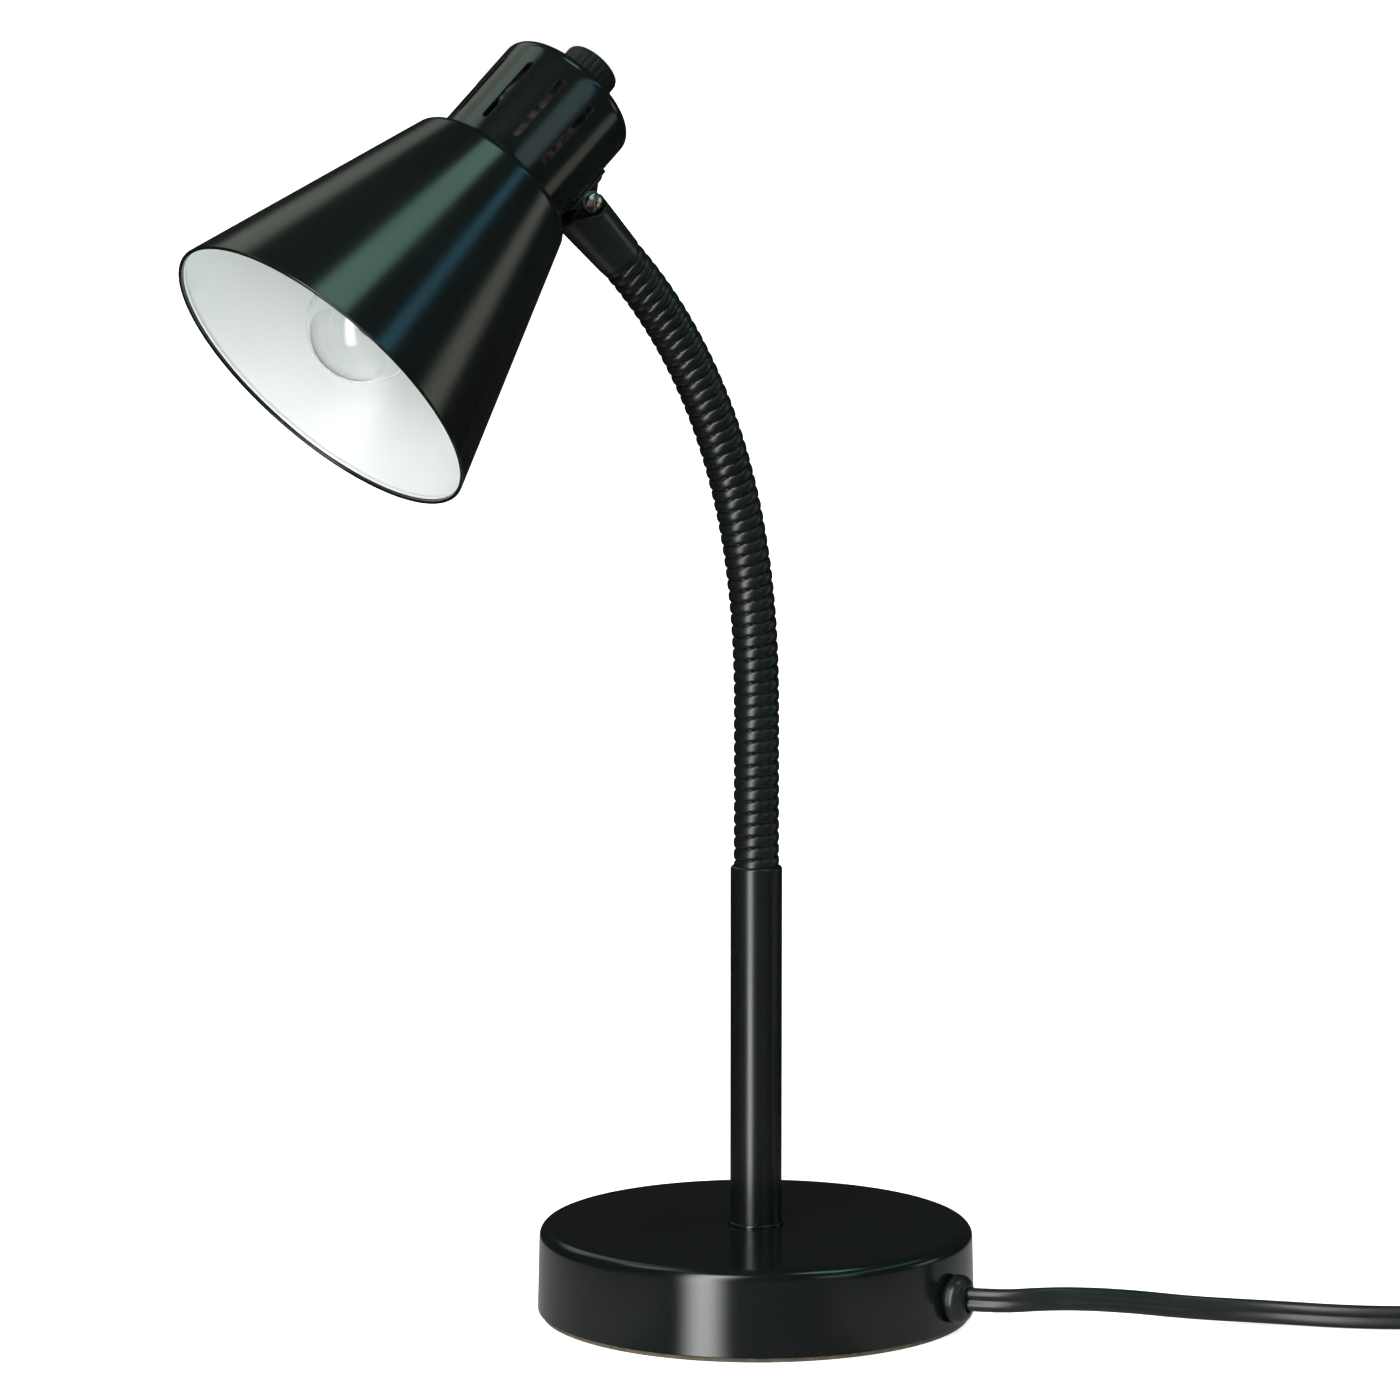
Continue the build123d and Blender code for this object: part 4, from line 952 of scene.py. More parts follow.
    def build_screw(self) -> None:
        """Slotted pan head in two halves over a solid foot, washer, and hexagon nut behind."""
        base = self.ear_outside + self.washer
        floor = base + self.slot_floor
        end = self.ear_outside + self.nut_height + self.screw_past_nut
        shank = rounded([(0, -end, 0), (self.screw_radius, -end, 0.4), (self.screw_radius, base, 0.02),
                         (self.head_radius, base, 0.2), (self.head_radius, floor, 0.02), (0, floor, 0)])
        surface = turned(shank, self.screw_place, 64)
        gap = self.slot_width / 2
        open_angle = degrees(atan2(sqrt(self.head_radius ** 2 - gap ** 2), gap))
        half = np.vstack((arc((0, 0), self.head_radius - 0.01, -open_angle, open_angle, 28),
                          np.stack((np.full(9, gap), np.linspace(1, -1, 9) * (self.head_radius - 0.2)), -1)))

        def on_head(local: Array) -> Array:
            """Half of the head, domed: above the slot's floor the height falls by head_fall·r²."""
            x, y, height = np.moveaxis(local, -1, 0)
            risen = smooth((height - floor) / (self.head_height - self.slot_floor))
            return self.screw_place.put(about_z(np.hypot(x, y), np.arctan2(y, x) + radians(self.slot_turn),
                                                height - self.head_fall * (x ** 2 + y ** 2) * risen))

        for side in (1, -1):
            surface += slab(half * side, floor - 0.1, base + self.head_height, 0.22, on_head)
        make_piece("pivot_slotted_screw", surface, [NICKEL_SCREW], ["pivot_screw"], "head")
        inner, outer = self.screw_radius + self.washer_gap, self.head_radius + 0.5
        turn_piece("pivot_flat_washer", [
            (inner, self.ear_outside, 0.05), (outer, self.ear_outside, 0.15),
            (outer, base, 0.15), (inner, base, 0.05),
        ], self.screw_place, ZINC_STEEL, "pivot_washer", sides=64, steps=3)
        hexagon = arc((0, 0), self.nut_across / 2 / cos(pi / 6), 0, 300, 5)
        corners = np.column_stack((hexagon, np.full(6, 0.35)))
        nut = slab(rounded(corners, closed=True, steps=4), -self.ear_outside - self.nut_height,
                   -self.ear_outside, 0.3, self.screw_place.put)
        make_piece("pivot_hex_nut", nut, [ZINC_STEEL], ["pivot_nut"], "head")

    def build(self) -> None:
        """Make the sleeve, the bracket and its fasteners."""
        self.build_sleeve()
        self.build_bracket()
        self.build_rivets()
        self.build_screw()


@dataclass(frozen=True)
class Shade:
    """Cone shade, black outside and white inside, and the ring that clamps it."""

    place: Place
    mouth: float = 52.75
    top: float = 26.8
    length: float = 82.5
    wall: float = 0.8
    shoulder: float = 4.0
    hem: float = 0.46
    hem_top: float = 2.3
    hem_step: float = 1.5
    dark_end: float = 0.85
    hole: float = 13.65
    ring_radius: float = 18.5
    ring_height: float = 5.0

    def build(self) -> None:
        """Make the shade's sheet with its turned-in hem, and the ring."""
        slope = (self.mouth - self.top) / self.length
        gauge = self.wall * sqrt(1 + slope ** 2)
        ceiling = self.length - self.wall
        inner = self.mouth - gauge
        corners = [
            (self.mouth, 0.0, 0.45),
            (self.top, self.length, self.shoulder),
            (self.hole, self.length, 0.1),
            (self.hole, ceiling, 0.1),
            (self.top + slope * self.wall - gauge, ceiling, self.shoulder - self.wall),
            (inner - slope * self.hem_top, self.hem_top, 0.5),
            (inner - slope * self.hem_step - self.hem, self.hem_step, 0.3),
            (inner - self.hem - 0.4 * slope * self.dark_end, self.dark_end, 0.05),
            (inner - self.hem, 0.0, 0.4),
        ]
        profile = rounded(corners, closed=True, steps=8)
        # The white runs from the fourth corner, at the hole, to the seventh, where the hem turns dark.
        per_corner = len(profile) // len(corners)
        inside = np.zeros(len(profile), int)
        inside[3 * per_corner:7 * per_corner] = 1
        make_piece("shade_spun_cone", turned(profile, self.place, 192, closed=True, kinds=inside),
                   [SHADE_ENAMEL, WHITE_ENAMEL], ["shade"], "head")
        turn_piece("shade_clamp_ring", [
            (self.hole, ceiling, 0.1), (self.ring_radius, ceiling, 0.2),
            (self.ring_radius, ceiling - self.ring_height, 1.1), (self.hole, ceiling - self.ring_height, 0.5),
        ], self.place, UREA_RING, "shade_ring")


@dataclass(frozen=True)
class SocketCup:
    """Cup behind the shade, a thin sheet with seven slots and a hole for the wires."""

    place: Place
    radius: float = 22.35
    foot: float = 82.5
    length: float = 38.0
    wall: float = 0.9
    edge: float = 3.8
    neck_hole: float = 5.05
    vent_width: float = 1.9
    vent_length: float = 23.0
    vent_start: float = 6.0
    vents: int = 7
    vent_pitch: float = 30.0
    vent_turn: float = 7.0
    wire_hole: float = 2.6
    wire_angle: float = 48.0
    wire_height: float = 101.2
    end_rings: tuple[float, float] = (14.0, 9.0)
    rim_bevel: float = 0.16
    across: int = 8
    upright: int = 22
    bands: int = 4

    def frame_loop(self, half: float, low: float, high: float) -> Array:
        """Rectangle round a sector of the wall, anticlockwise from its lower left corner."""
        x, h = np.linspace(-half, half, self.across + 1), np.linspace(low, high, self.upright + 1)
        return np.vstack((np.stack((x[:-1], 0 * x[:-1] + low), -1), np.stack((0 * h[:-1] + half, h[:-1]), -1),
                          np.stack((x[:0:-1], 0 * x[:0:-1] + high), -1),
                          np.stack((0 * h[:0:-1] - half, h[:0:-1]), -1)))

    def slot_loop(self) -> Array:
        """Slot with round ends in the same order of points as the rectangle."""
        radius, low = self.vent_width / 2, self.foot + self.vent_start
        lower, upper = low + radius, low + self.vent_length - radius
        h = np.linspace(lower, upper, self.upright + 1)
        return np.vstack((arc((0, lower), radius, 180, 360, self.across)[:-1],
                          np.stack((0 * h[:-1] + radius, h[:-1]), -1),
                          arc((0, upper), radius, 0, 180, self.across)[:-1],
                          np.stack((0 * h[:0:-1] - radius, h[:0:-1]), -1)))

    def hole_loop(self, frame_points: Array, x: float) -> Array:
        """Round hole at x whose points look from its middle towards the rectangle's points."""
        middle = np.array((x, self.wire_height))
        return middle + unit(frame_points - middle) * self.wire_hole

    def build(self) -> None:
        """Make the wall sector by sector, close it with the rounded end, and give it its thickness.

        A sector with an opening is a run of loops from the opening to the rectangle, and one without is
        a plain grid. Both are bent on the cylinder: (r cos(x / r), r sin(x / r), height).
        """
        half = self.radius * radians(self.vent_pitch) / 2
        high = self.foot + self.length - self.edge
        rectangle = self.frame_loop(half, self.foot, high)
        share = (np.linspace(0, 1, self.bands + 1) ** 1.6)[:, None, None]
        sectors = []
        for index in range(round(360 / self.vent_pitch)):
            turn = -(180 + self.vent_turn + (index - (self.vents - 1) / 2) * self.vent_pitch)
            # Distance along the wall from the wires' hole to the middle of this sector.
            offset = (-self.wire_angle - (-turn % 360 - 360)) * radians(1) * self.radius
            if index < self.vents or abs(offset) < half - self.wire_hole:
                opening = self.slot_loop() if index < self.vents else self.hole_loop(rectangle, -offset)
                flat, closed = opening + (rectangle - opening) * share, True
            else:
                x, h = np.meshgrid(np.linspace(-half, half, self.across + 1),
                                   np.linspace(self.foot, high, self.upright + 1))
                flat, closed = np.stack((x, h), -1), False
            bent = about_z(self.radius, flat[..., 0] / self.radius + radians(turn), flat[..., 1])
            sectors.append(Surface.grid(self.place.put(bent), round_columns=closed))
        flat_end = [(r, self.foot + self.length)
                    for r in (self.radius - self.edge - 0.3, *self.end_rings, self.neck_hole)]
        dome = np.vstack((arc((self.radius - self.edge, high), self.edge, 0, 90, 10), flat_end))
        sides = self.across * len(sectors)
        first = radians(self.vent_pitch / 2 - self.vent_turn)
        spin = Place.along(self.place.origin, self.place.z,
                           self.place.x * cos(first) + self.place.y * sin(first))
        surface = sum(sectors[1:], sectors[0]) + turned(dome, spin, sides)
        piece = make_piece("socket_cup_shell", surface, [BLACK_ENAMEL], ["socket_cup"], "head")
        sheet = piece.modifiers.new("sheet", "SOLIDIFY")
        sheet.thickness, sheet.offset, sheet.use_even_offset = self.wall * MM, -1.0, True
        rim = piece.modifiers.new("rim", "BEVEL")
        rim.width, rim.segments, rim.harden_normals = self.rim_bevel * MM, 2, True
        rim.limit_method, rim.angle_limit = "ANGLE", radians(50)


@dataclass(frozen=True)
class SocketAndSwitch:
    """Lamp socket with its flange, rotary switch, nut and fluted knob."""

    place: Place
    mouth: float = 46.0
    radius: float = 13.6
    cavity: float = 8.9
    cavity_floor: float = 66.45
    flange_radius: float = 18.0
    flange_height: float = 2.2
    shade_top: float = 82.5
    switch_foot: float = 103.6
    switch_gap: float = 0.02
    switch_height: float = 16.0
    switch_radius: float = 15.0
    cup_end: float = 120.5
    neck_radius: float = 5.0
    neck_end: float = 122.7
    shaft: float = 3.05
    shaft_foot: float = 111.3
    nut_radius: float = 6.6
    nut_height: float = 1.6
    nut_gap: float = 0.04
    knob_radius: float = 9.0
    knob_height: float = 10.6
    knob_gap: float = 0.4
    knob_edge: float = 1.6
    flutes: int = 24
    flute_depth: float = 0.28
    skirt_wall: float = 1.6
    shaft_end: float = 129.0

    def build_socket(self) -> None:
        """Phenolic socket with its cavity and flange, and the switch body behind it."""
        flange = self.shade_top + self.flange_height
        turn_piece("socket_phenolic_body", [
            (0, self.cavity_floor, 0), (self.cavity, self.cavity_floor, 0.1), (self.cavity, self.mouth, 0.5),
            (self.radius, self.mouth, 0.7), (self.radius, self.shade_top, 0.1),
            (self.flange_radius, self.shade_top, 0.3), (self.flange_radius, flange, 0.5),
            (self.radius, flange, 0.5), (self.radius, self.switch_foot, 0.2), (0, self.switch_foot, 0),
        ], self.place, PHENOLIC, "socket_body", closed=False)
        foot, top = self.switch_foot + self.switch_gap, self.switch_foot + self.switch_height
        turn_piece("switch_rotary_body", [
            (0, foot, 0), (self.switch_radius, foot, 0.6), (self.switch_radius, top, 0.6),
            (self.neck_radius, top, 0.2), (self.neck_radius, self.neck_end, 0.3),
            (self.shaft, self.neck_end, 0.1), (self.shaft, self.shaft_foot, 0.1), (0, self.shaft_foot, 0),
        ], self.place, PHENOLIC, "switch_body", closed=False)
        inner, nut_top = self.neck_radius + self.nut_gap, self.cup_end + self.nut_height
        turn_piece("switch_ring_nut", [
            (inner, self.cup_end, 0.05), (self.nut_radius, self.cup_end, 0.1),
            (self.nut_radius, nut_top, 0.3), (inner, nut_top, 0.1),
        ], self.place, ZINC_STEEL, "switch_nut")

    def build_knob(self) -> None:
        """Knob: a hollow turned profile whose outside drops by depth·(1 - |sin(n·t/2)|^0.6) at turn t."""
        foot = self.cup_end + self.knob_gap
        end = foot + self.knob_height
        hollow = self.neck_end + 0.3
        profile = rounded([(self.shaft, self.shaft_end, 0.1), (self.shaft, hollow, 0.1),
                           (self.knob_radius - self.skirt_wall, hollow, 0.3),
                           (self.knob_radius - self.skirt_wall, foot, 0.3), (self.knob_radius, foot, 0.4),
                           (self.knob_radius - 0.15, end, self.knob_edge), (0, end - 0.1, 0)], steps=8)
        profile = np.vstack(((0, self.shaft_end), profile))
        turn = np.linspace(0, 2 * pi, self.flutes * 10, endpoint=False)
        flute = self.flute_depth * (1 - np.abs(np.sin(self.flutes * turn / 2)) ** 0.6)
        fade = smooth((profile[:, 0] - (self.knob_radius - self.skirt_wall + 0.6)) / 0.6) * smooth(
            (end - 0.5 - profile[:, 1]) / 1.6)
        local = about_z(profile[:, :1] - fade[:, None] * flute, turn, profile[:, 1:])
        make_piece("switch_fluted_knob", Surface.grid(self.place.put(local)), [KNOB_BLACK],
                   ["switch_knob"], "knob")
        dress_nodes(ZINC_STEEL, "switch_shaft")

    def build(self) -> None:
        """Make the socket, the switch and the knob, and dress the contacts."""
        self.build_socket()
        self.build_knob()
        dress_nodes(BRASS, "screw_shell", "centre_contact")


@dataclass(frozen=True)
class Bulb:
    """Clear globe bulb with its stem, coiled filament and screw cap."""

    place: Place
    globe: float = 17.45
    centre: float = 21.7
    neck: float = 8.0
    blend: float = 9.0
    glass: float = 0.7
    glass_end: float = 48.6
    cap_radius: float = 8.3
    cap_foot: float = 44.35
    cap_end: float = 61.35
    contact_end: float = 62.95
    contact_radius: float = 3.0
    thread_pitch: float = 2.82
    thread_depth: float = 0.4
    stem_radius: float = 2.6
    stem_tip: float = 34.8
    filament_half: float = 6.0
    wire: float = 0.3
    coil_radius: float = 0.42
    coil_wire: float = 0.13
    coil_turns: int = 22
    coil_sag: float = 2.0

    def wall(self, inset: float) -> Array:
        """Profile of the glass from the globe's tip to the neck, moved inwards.

        Two arcs meet where their centres' line crosses them: the globe's, and a hollow one of the
        blend's radius that ends upright on the neck.

        Args:
            inset: how far inside the outer face it runs.

        Returns:
            (radius, height) of its points.
        """
        globe, blend = self.globe - inset, self.blend + inset
        reach = self.neck - inset + blend
        rise = sqrt((globe + blend) ** 2 - reach ** 2)
        turn = degrees(atan2(rise, reach))
        return np.vstack((arc((0, self.centre), globe, -90, turn, 40),
                          arc((reach, self.centre + rise), blend, 180 + turn, 180, 14)[1:],
                          (self.neck - inset, self.glass_end)))

    def build_glass(self) -> None:
        """Glass envelope with both of its faces, and the glass stem inside, which throw no shadow."""
        shell = np.vstack((self.wall(0), self.wall(self.glass)[::-1]))
        glass = make_piece("bulb_glass_envelope", turned(shell, self.place), [CLEAR_GLASS],
                           ["bulb_glass"], "head")
        stem = turn_piece("bulb_glass_stem", [
            (0, self.stem_tip, 0), (0.7 * self.stem_radius, self.stem_tip, 0.9),
            (self.stem_radius, self.stem_tip + self.stem_radius, 1.5),
            (self.stem_radius, self.glass_end - 2 * self.stem_radius, 1.5),
            (2 * self.stem_radius, self.glass_end, 0.2), (0, self.glass_end, 0),
        ], self.place, CLEAR_GLASS, "bulb_stem", closed=False, sides=48)
        glass.visible_shadow = stem.visible_shadow = False

    def build_filament(self) -> None:
        """Two support wires and a wound filament between their ends.

        The coil is middle + r·(cos t·across + sin t·along), on a line that sags by a cosine.
        """
        knee, half = self.centre, self.filament_half
        wire = np.array(((1.3, 0, self.stem_tip + 3), (1.3, 0, self.stem_tip - 0.3),
                         (2.6, 0, self.stem_tip - 3.5), (5.4, 0, knee + 3.0),
                         (half, 0, knee + 0.2), (half, 0, knee - 0.5)))
        fine = np.linspace(0, 1, 40)
        line = np.stack([np.interp(fine, np.linspace(0, 1, len(wire)), column) for column in wire.T], -1)
        ring = arc((0, 0), self.wire, 0, 330, 11)
        right, left = (Surface.grid(self.place.put(capped(swept(line * (side, 1, 1), ring, SIDE))))
                       for side in (1, -1))
        surface = right + left
        share = np.linspace(0, 1, self.coil_turns * 14 + 1)
        turn = 2 * pi * self.coil_turns * share
        across = half * (1 - 2 * share)
        sagging = knee - self.coil_sag * np.cos(across / half * pi / 2)
        coil = np.stack((across, self.coil_radius * np.cos(turn),
                         sagging + self.coil_radius * np.sin(turn)), -1)
        wire_ring = arc((0, 0), self.coil_wire, 0, 300, 5)
        surface += Surface.grid(self.place.put(capped(swept(coil, wire_ring, np.array((1.0, 0, 0))))))
        make_piece("bulb_coiled_filament", surface, [TUNGSTEN], ["bulb_filament"], "head", sharp=60)

    def build_cap(self) -> None:
        """Cap with a rolled thread: radius less depth·(1 + cos(2π(h/pitch - t/2π)))/2, and its contact."""
        height = np.linspace(self.cap_foot + 1.4, self.cap_end - 4.6, 60)
        turn = np.linspace(0, 2 * pi, 72, endpoint=False)
        wave = 0.5 + 0.5 * np.cos(2 * pi * (height[:, None] / self.thread_pitch - turn / (2 * pi)))
        ease = smooth((height - height[0]) / 1.5) * smooth((height[-1] - height) / 1.5)
        thread = self.cap_radius - self.thread_depth * wave * ease[:, None]
        below = np.array(((self.neck + 0.05, self.glass_end), (self.neck + 0.05, self.cap_foot),
                          (self.cap_radius, self.cap_foot)))
        above = np.array(((0.75 * self.cap_radius, self.cap_end - 1.4), (self.contact_radius, self.cap_end),
                          (self.contact_radius, self.contact_end - 0.6),
                          (0.6 * self.contact_radius, self.contact_end), (0, self.contact_end)))
        local = np.concatenate((about_z(below[:, :1], turn, below[:, 1:]),
                                about_z(thread, turn, height[:, None]),
                                about_z(above[:, :1], turn, above[:, 1:])))
        inner = UP * self.glass_end + 0 * local[:1]
        make_piece("bulb_screw_cap", Surface.grid(self.place.put(np.concatenate((inner, local)))),
                   [CAP_METAL], ["bulb_cap"], "head")

    def build(self) -> None:
        """Make the bulb's pieces."""
        self.build_glass()
        self.build_filament()
        self.build_cap()


@dataclass(frozen=True)
class MainsCord:
    """Flat twin cord on its broad side's edge: bushing, visible run, put-away coil, and plug."""

    width: float = 7.4
    thickness: float = 3.9
    web: float = 1.25
    cord_gap: float = 0.12
    hole: tuple[float, float, float] = (30.0384, -60.5117, 11.5)
    azimuth: float = -63.6
    inner: float = 9.0
    lead_out: float = 12.5
    route: tuple[tuple[float, float, float], ...] = (
        (52.5, -82.4, 12.6), (75.1, -87.1, 9.6), (98.1, -92.8, 5.2), (117.5, -107.0, 3.9),
        (134.4, -128.0, 3.8), (154.8, -144.1, 3.9), (176.5, -155.1, 3.8))
    coil_centre: tuple[float, float] = (218.4, -135.0)
    coil_radius: float = 38.96
    entry: float = -126.2
    exit_turn: float = 112.0
    points_per_turn: int = 16
    tail: float = 44.0
    flange_radius: float = 7.5
    flange_foot: float = 2.0
    flange_height: float = 5.5
    sunk: float = 6.0
    length: float = 1.8
    plug_width: float = 25.0
    plug_depth: float = 15.0
    plug_neck: float = 9.0
    plug_neck_radius: float = 5.5
    plug_ribs_end: float = 24.0
    plug_end: float = 39.0
    plug_edge: float = 1.4
    rib_depth: float = 0.35
    rib_pitch: float = 3.0

    @cached_property
    def way_out(self) -> Array:
        """Direction in which the cord leaves the base."""
        return np.array((cos(radians(self.azimuth)), sin(radians(self.azimuth)), 0.0))

    @cached_property
    def tail_way(self) -> Array:
        """Direction in which the cord's end leaves the coil."""
        angle = radians(self.entry + self.exit_turn)
        return np.array((-sin(angle), cos(angle), 0.0))

    @cached_property
    def coil_end(self) -> Array:
        """Point on the middle of the coil's turns where the tail leaves, at height zero."""
        angle = radians(self.entry + self.exit_turn)
        return np.array((self.coil_centre[0] + self.coil_radius * cos(angle),
                         self.coil_centre[1] + self.coil_radius * sin(angle), 0.0))

    def coil_points(self) -> Array:
        """Control points of the coil: two columns and three layers, and part of a turn between columns.

        Turn k keeps its column and layer and eases into the next over its last eighth. The control
        radius is the turn's radius over cos(pi / points per turn), because the spline cuts inside.

        Returns:
            Points, (n, 3).
        """
        column, layer = self.width / 2, self.width
        low = self.width / 2 + 0.05
        ends = np.array((0, 360, 720, 1080, 1440, 1800, 1800 + self.exit_turn, 2160 + self.exit_turn))
        outs = np.array((1, -1, -1, 1, -1, 0, 1)) * column
        lifts = low + np.array((0, 0, 1, 1, 2, 2, 2)) * layer
        count = round(ends[-1] / 360 * self.points_per_turn)
        angle = np.linspace(0, ends[-1], count + 1)
        slot = np.clip(np.searchsorted(ends, angle, side="right") - 1, 0, len(outs) - 1)
        after = np.minimum(slot + 1, len(outs) - 1)
        ease = smooth((angle - (ends[slot + 1] - 45)) / 45)
        out = outs[slot] + (outs[after] - outs[slot]) * ease
        lift = lifts[slot] + (lifts[after] - lifts[slot]) * ease
        radius = (self.coil_radius + out) / cos(pi / self.points_per_turn)
        turn = np.radians(self.entry + angle)
        return np.stack((self.coil_centre[0] + radius * np.cos(turn),
                         self.coil_centre[1] + radius * np.sin(turn), lift), -1)

    def line(self) -> Array:
        """Points of the cord's NURBS line, in millimetres, from inside its bushing to its plug."""
        hole = np.array(self.hole)
        steps = np.array(((12.0, 18.55, 3.7), (23.0, 16.4, 3.0), (33.0, 10.5, 1.2), (self.tail, 7.5, 0.0)))
        tail = self.coil_end + steps @ np.stack((self.tail_way, UP, np.cross(self.tail_way, UP)))
        control = np.vstack((hole - self.way_out * self.inner, hole + self.way_out * self.lead_out,
                             self.route, self.coil_points(), tail))
        curve = bpy.data.curves.new("cord_line", "CURVE")
        curve.dimensions = "3D"
        curve.resolution_u = 6
        spline = curve.splines.new("NURBS")
        spline.points.add(len(control) - 1)
        spline.points.foreach_set("co", np.hstack((control * MM, np.ones((len(control), 1)))).ravel())
        spline.order_u = 3
        spline.use_endpoint_u = True
        holder = bpy.data.objects.new("cord_line", curve)
        mesh = bpy.data.meshes.new_from_object(holder)
        points = np.zeros(len(mesh.vertices) * 3)
        mesh.vertices.foreach_get("co", points)
        bpy.data.objects.remove(holder)
        bpy.data.curves.remove(curve)
        bpy.data.meshes.remove(mesh)
        points = points.reshape(-1, 3) / MM
        keep = np.append(True, np.linalg.norm(np.diff(points, axis=0), axis=1) > 1e-3)
        return points[keep]

    def section(self, sides: int = 28) -> Array:
        """Two round wires side by side, c apart from the middle, with a web between them.

        The radius is c·|cos t| + sqrt(r² - c²·sin² t), or the web's half thickness over |sin t| if more.

        Args:
            sides: points round the section.

        Returns:
            Points, (sides, 2), with the broad way along Y.
        """
        turn = np.linspace(0, 2 * pi, sides, endpoint=False)
        radius = self.thickness / 2
        apart = self.width / 2 - radius
        lobes = apart * np.abs(np.cos(turn)) + np.sqrt(radius ** 2 - (apart * np.sin(turn)) ** 2)
        web = self.web / np.maximum(np.abs(np.sin(turn)), 0.8)
        reach = np.maximum(lobes, web)
        return np.stack((reach * np.sin(turn), reach * np.cos(turn)), -1)

    def build_bushing(self) -> bpy.types.Object:
        """Domed bushing: loops from its round rim to the cord's oblong hole, on a quarter-ellipse dome."""
        turn = np.linspace(0, 2 * pi, 64, endpoint=False)
        circle = np.stack((np.cos(turn), np.sin(turn)), -1)
        apart, radius = (self.width - self.thickness) / 2, self.thickness / 2 + self.cord_gap
        oblong = circle * radius + np.stack((0 * turn, np.sign(np.round(np.sin(turn), 6)) * apart), -1)
        rim, foot = self.flange_radius, self.flange_foot
        loops = [(circle * r, h) for r, h in (
            (rim - 1.6, -self.sunk), (rim - 1.3, 0.3), (rim - 0.5, 0.45), (rim, 0.9), (rim, foot))]
        for angle in np.linspace(0, pi / 2, 12)[1:]:
            share = 1 - cos(angle)
            loops.append((circle * rim * (1 - share) + oblong * 1.12 * share,
                          foot + (self.flange_height - foot) * sin(angle)))
        loops += [(oblong, self.flange_height - 0.35), (oblong, -self.sunk)]
        rows = [np.column_stack((loop, np.full(len(turn), height))) for loop, height in loops]
        place = Place.along(self.hole, self.way_out, np.cross(UP, self.way_out))
        surface = Surface.grid(place.put(np.stack(rows)), round_rows=True)
        return make_piece("cord_domed_bushing", surface, [BUSHING_BLACK], ["cord_bushing"], "base")

    def build_plug(self) -> bpy.types.Object:
        """Plug: sections that grow from the cord to the grip, with ribs, and a flat face with round edges."""
        foot = self.coil_end + self.tail_way * (self.tail - 0.6) + UP * self.plug_depth / 2
        place = Place.along(foot, self.tail_way, np.cross(self.tail_way, UP))
        ribs_end, face = self.plug_ribs_end, self.plug_end - self.plug_edge
        height = np.concatenate((np.linspace(0, self.plug_neck, 8),
                                 np.linspace(self.plug_neck, ribs_end, 31)[1:],
                                 np.linspace(ribs_end, face, 6)[1:]))
        grow = smooth((height - 2) / 16)
        wide = self.plug_neck_radius + (self.plug_width / 2 - self.plug_neck_radius) * grow
        deep = self.plug_neck_radius + (self.plug_depth / 2 - self.plug_neck_radius) * grow
        within = smooth((height - self.plug_neck) / 3) * smooth((ribs_end - height) / 3)
        rib = self.rib_depth * (0.5 - 0.5 * np.cos(2 * pi * height / self.rib_pitch)) * within
        end = np.linspace(0, pi / 2, 7)[1:]
        drawn_in = self.plug_edge * (1 - np.cos(end))
        height = np.concatenate(((0.0, 0.0), height[1:], face + self.plug_edge * np.sin(end)))
        halves = np.vstack((((3.0, 4.2), (5.2, 5.2)), np.stack((wide - rib, deep - rib), -1)[1:],
                            np.stack((self.plug_width / 2 - drawn_in, self.plug_depth / 2 - drawn_in), -1)))
        powers = 2 + 2.6 * smooth((height - 2) / 14)
        centres = np.stack((0 * height, 0 * height, height), -1)
        surface = Surface.grid(place.put(capped(lofted(centres, halves, powers, 96))))
        dress_nodes(PLUG_METAL, "plug_blades")
        return make_piece("mains_plug_body", surface, [PLUG_BLACK], ["plug_body"], "base")

    def build(self) -> None:
        path = self.line()
        rings = swept(path, self.section(), UP)
        cord = make_piece("mains_cord", Surface.grid(capped(rings)), [CORD_BLACK],
                          ["cord_tube", "cord_coil", "cord_tail"], "base", sharp=70)
        self.build_bushing()
        plug = self.build_plug()
        dress_nodes(CORD_BLACK, "stem_leads")


# ---------------------------------------------------------------- studio
def direction(azimuth: float, height: float) -> tuple[float, float, float]:
    """Unit vector at an azimuth and a height in radians: (sin a·cos h, -cos a·cos h, sin h)."""
    return sin(azimuth) * cos(height), -cos(azimuth) * cos(height), sin(height)


def standing(side: Array, back: Array, location: Sequence[float]) -> Matrix:
    """Matrix of an object whose X is side and whose Z is back, at a location in metres."""
    matrix = np.eye(4)
    matrix[:3, :3] = np.stack((side, np.cross(back, side), back), -1)
    matrix[:3, 3] = location
    return Matrix(matrix.tolist())


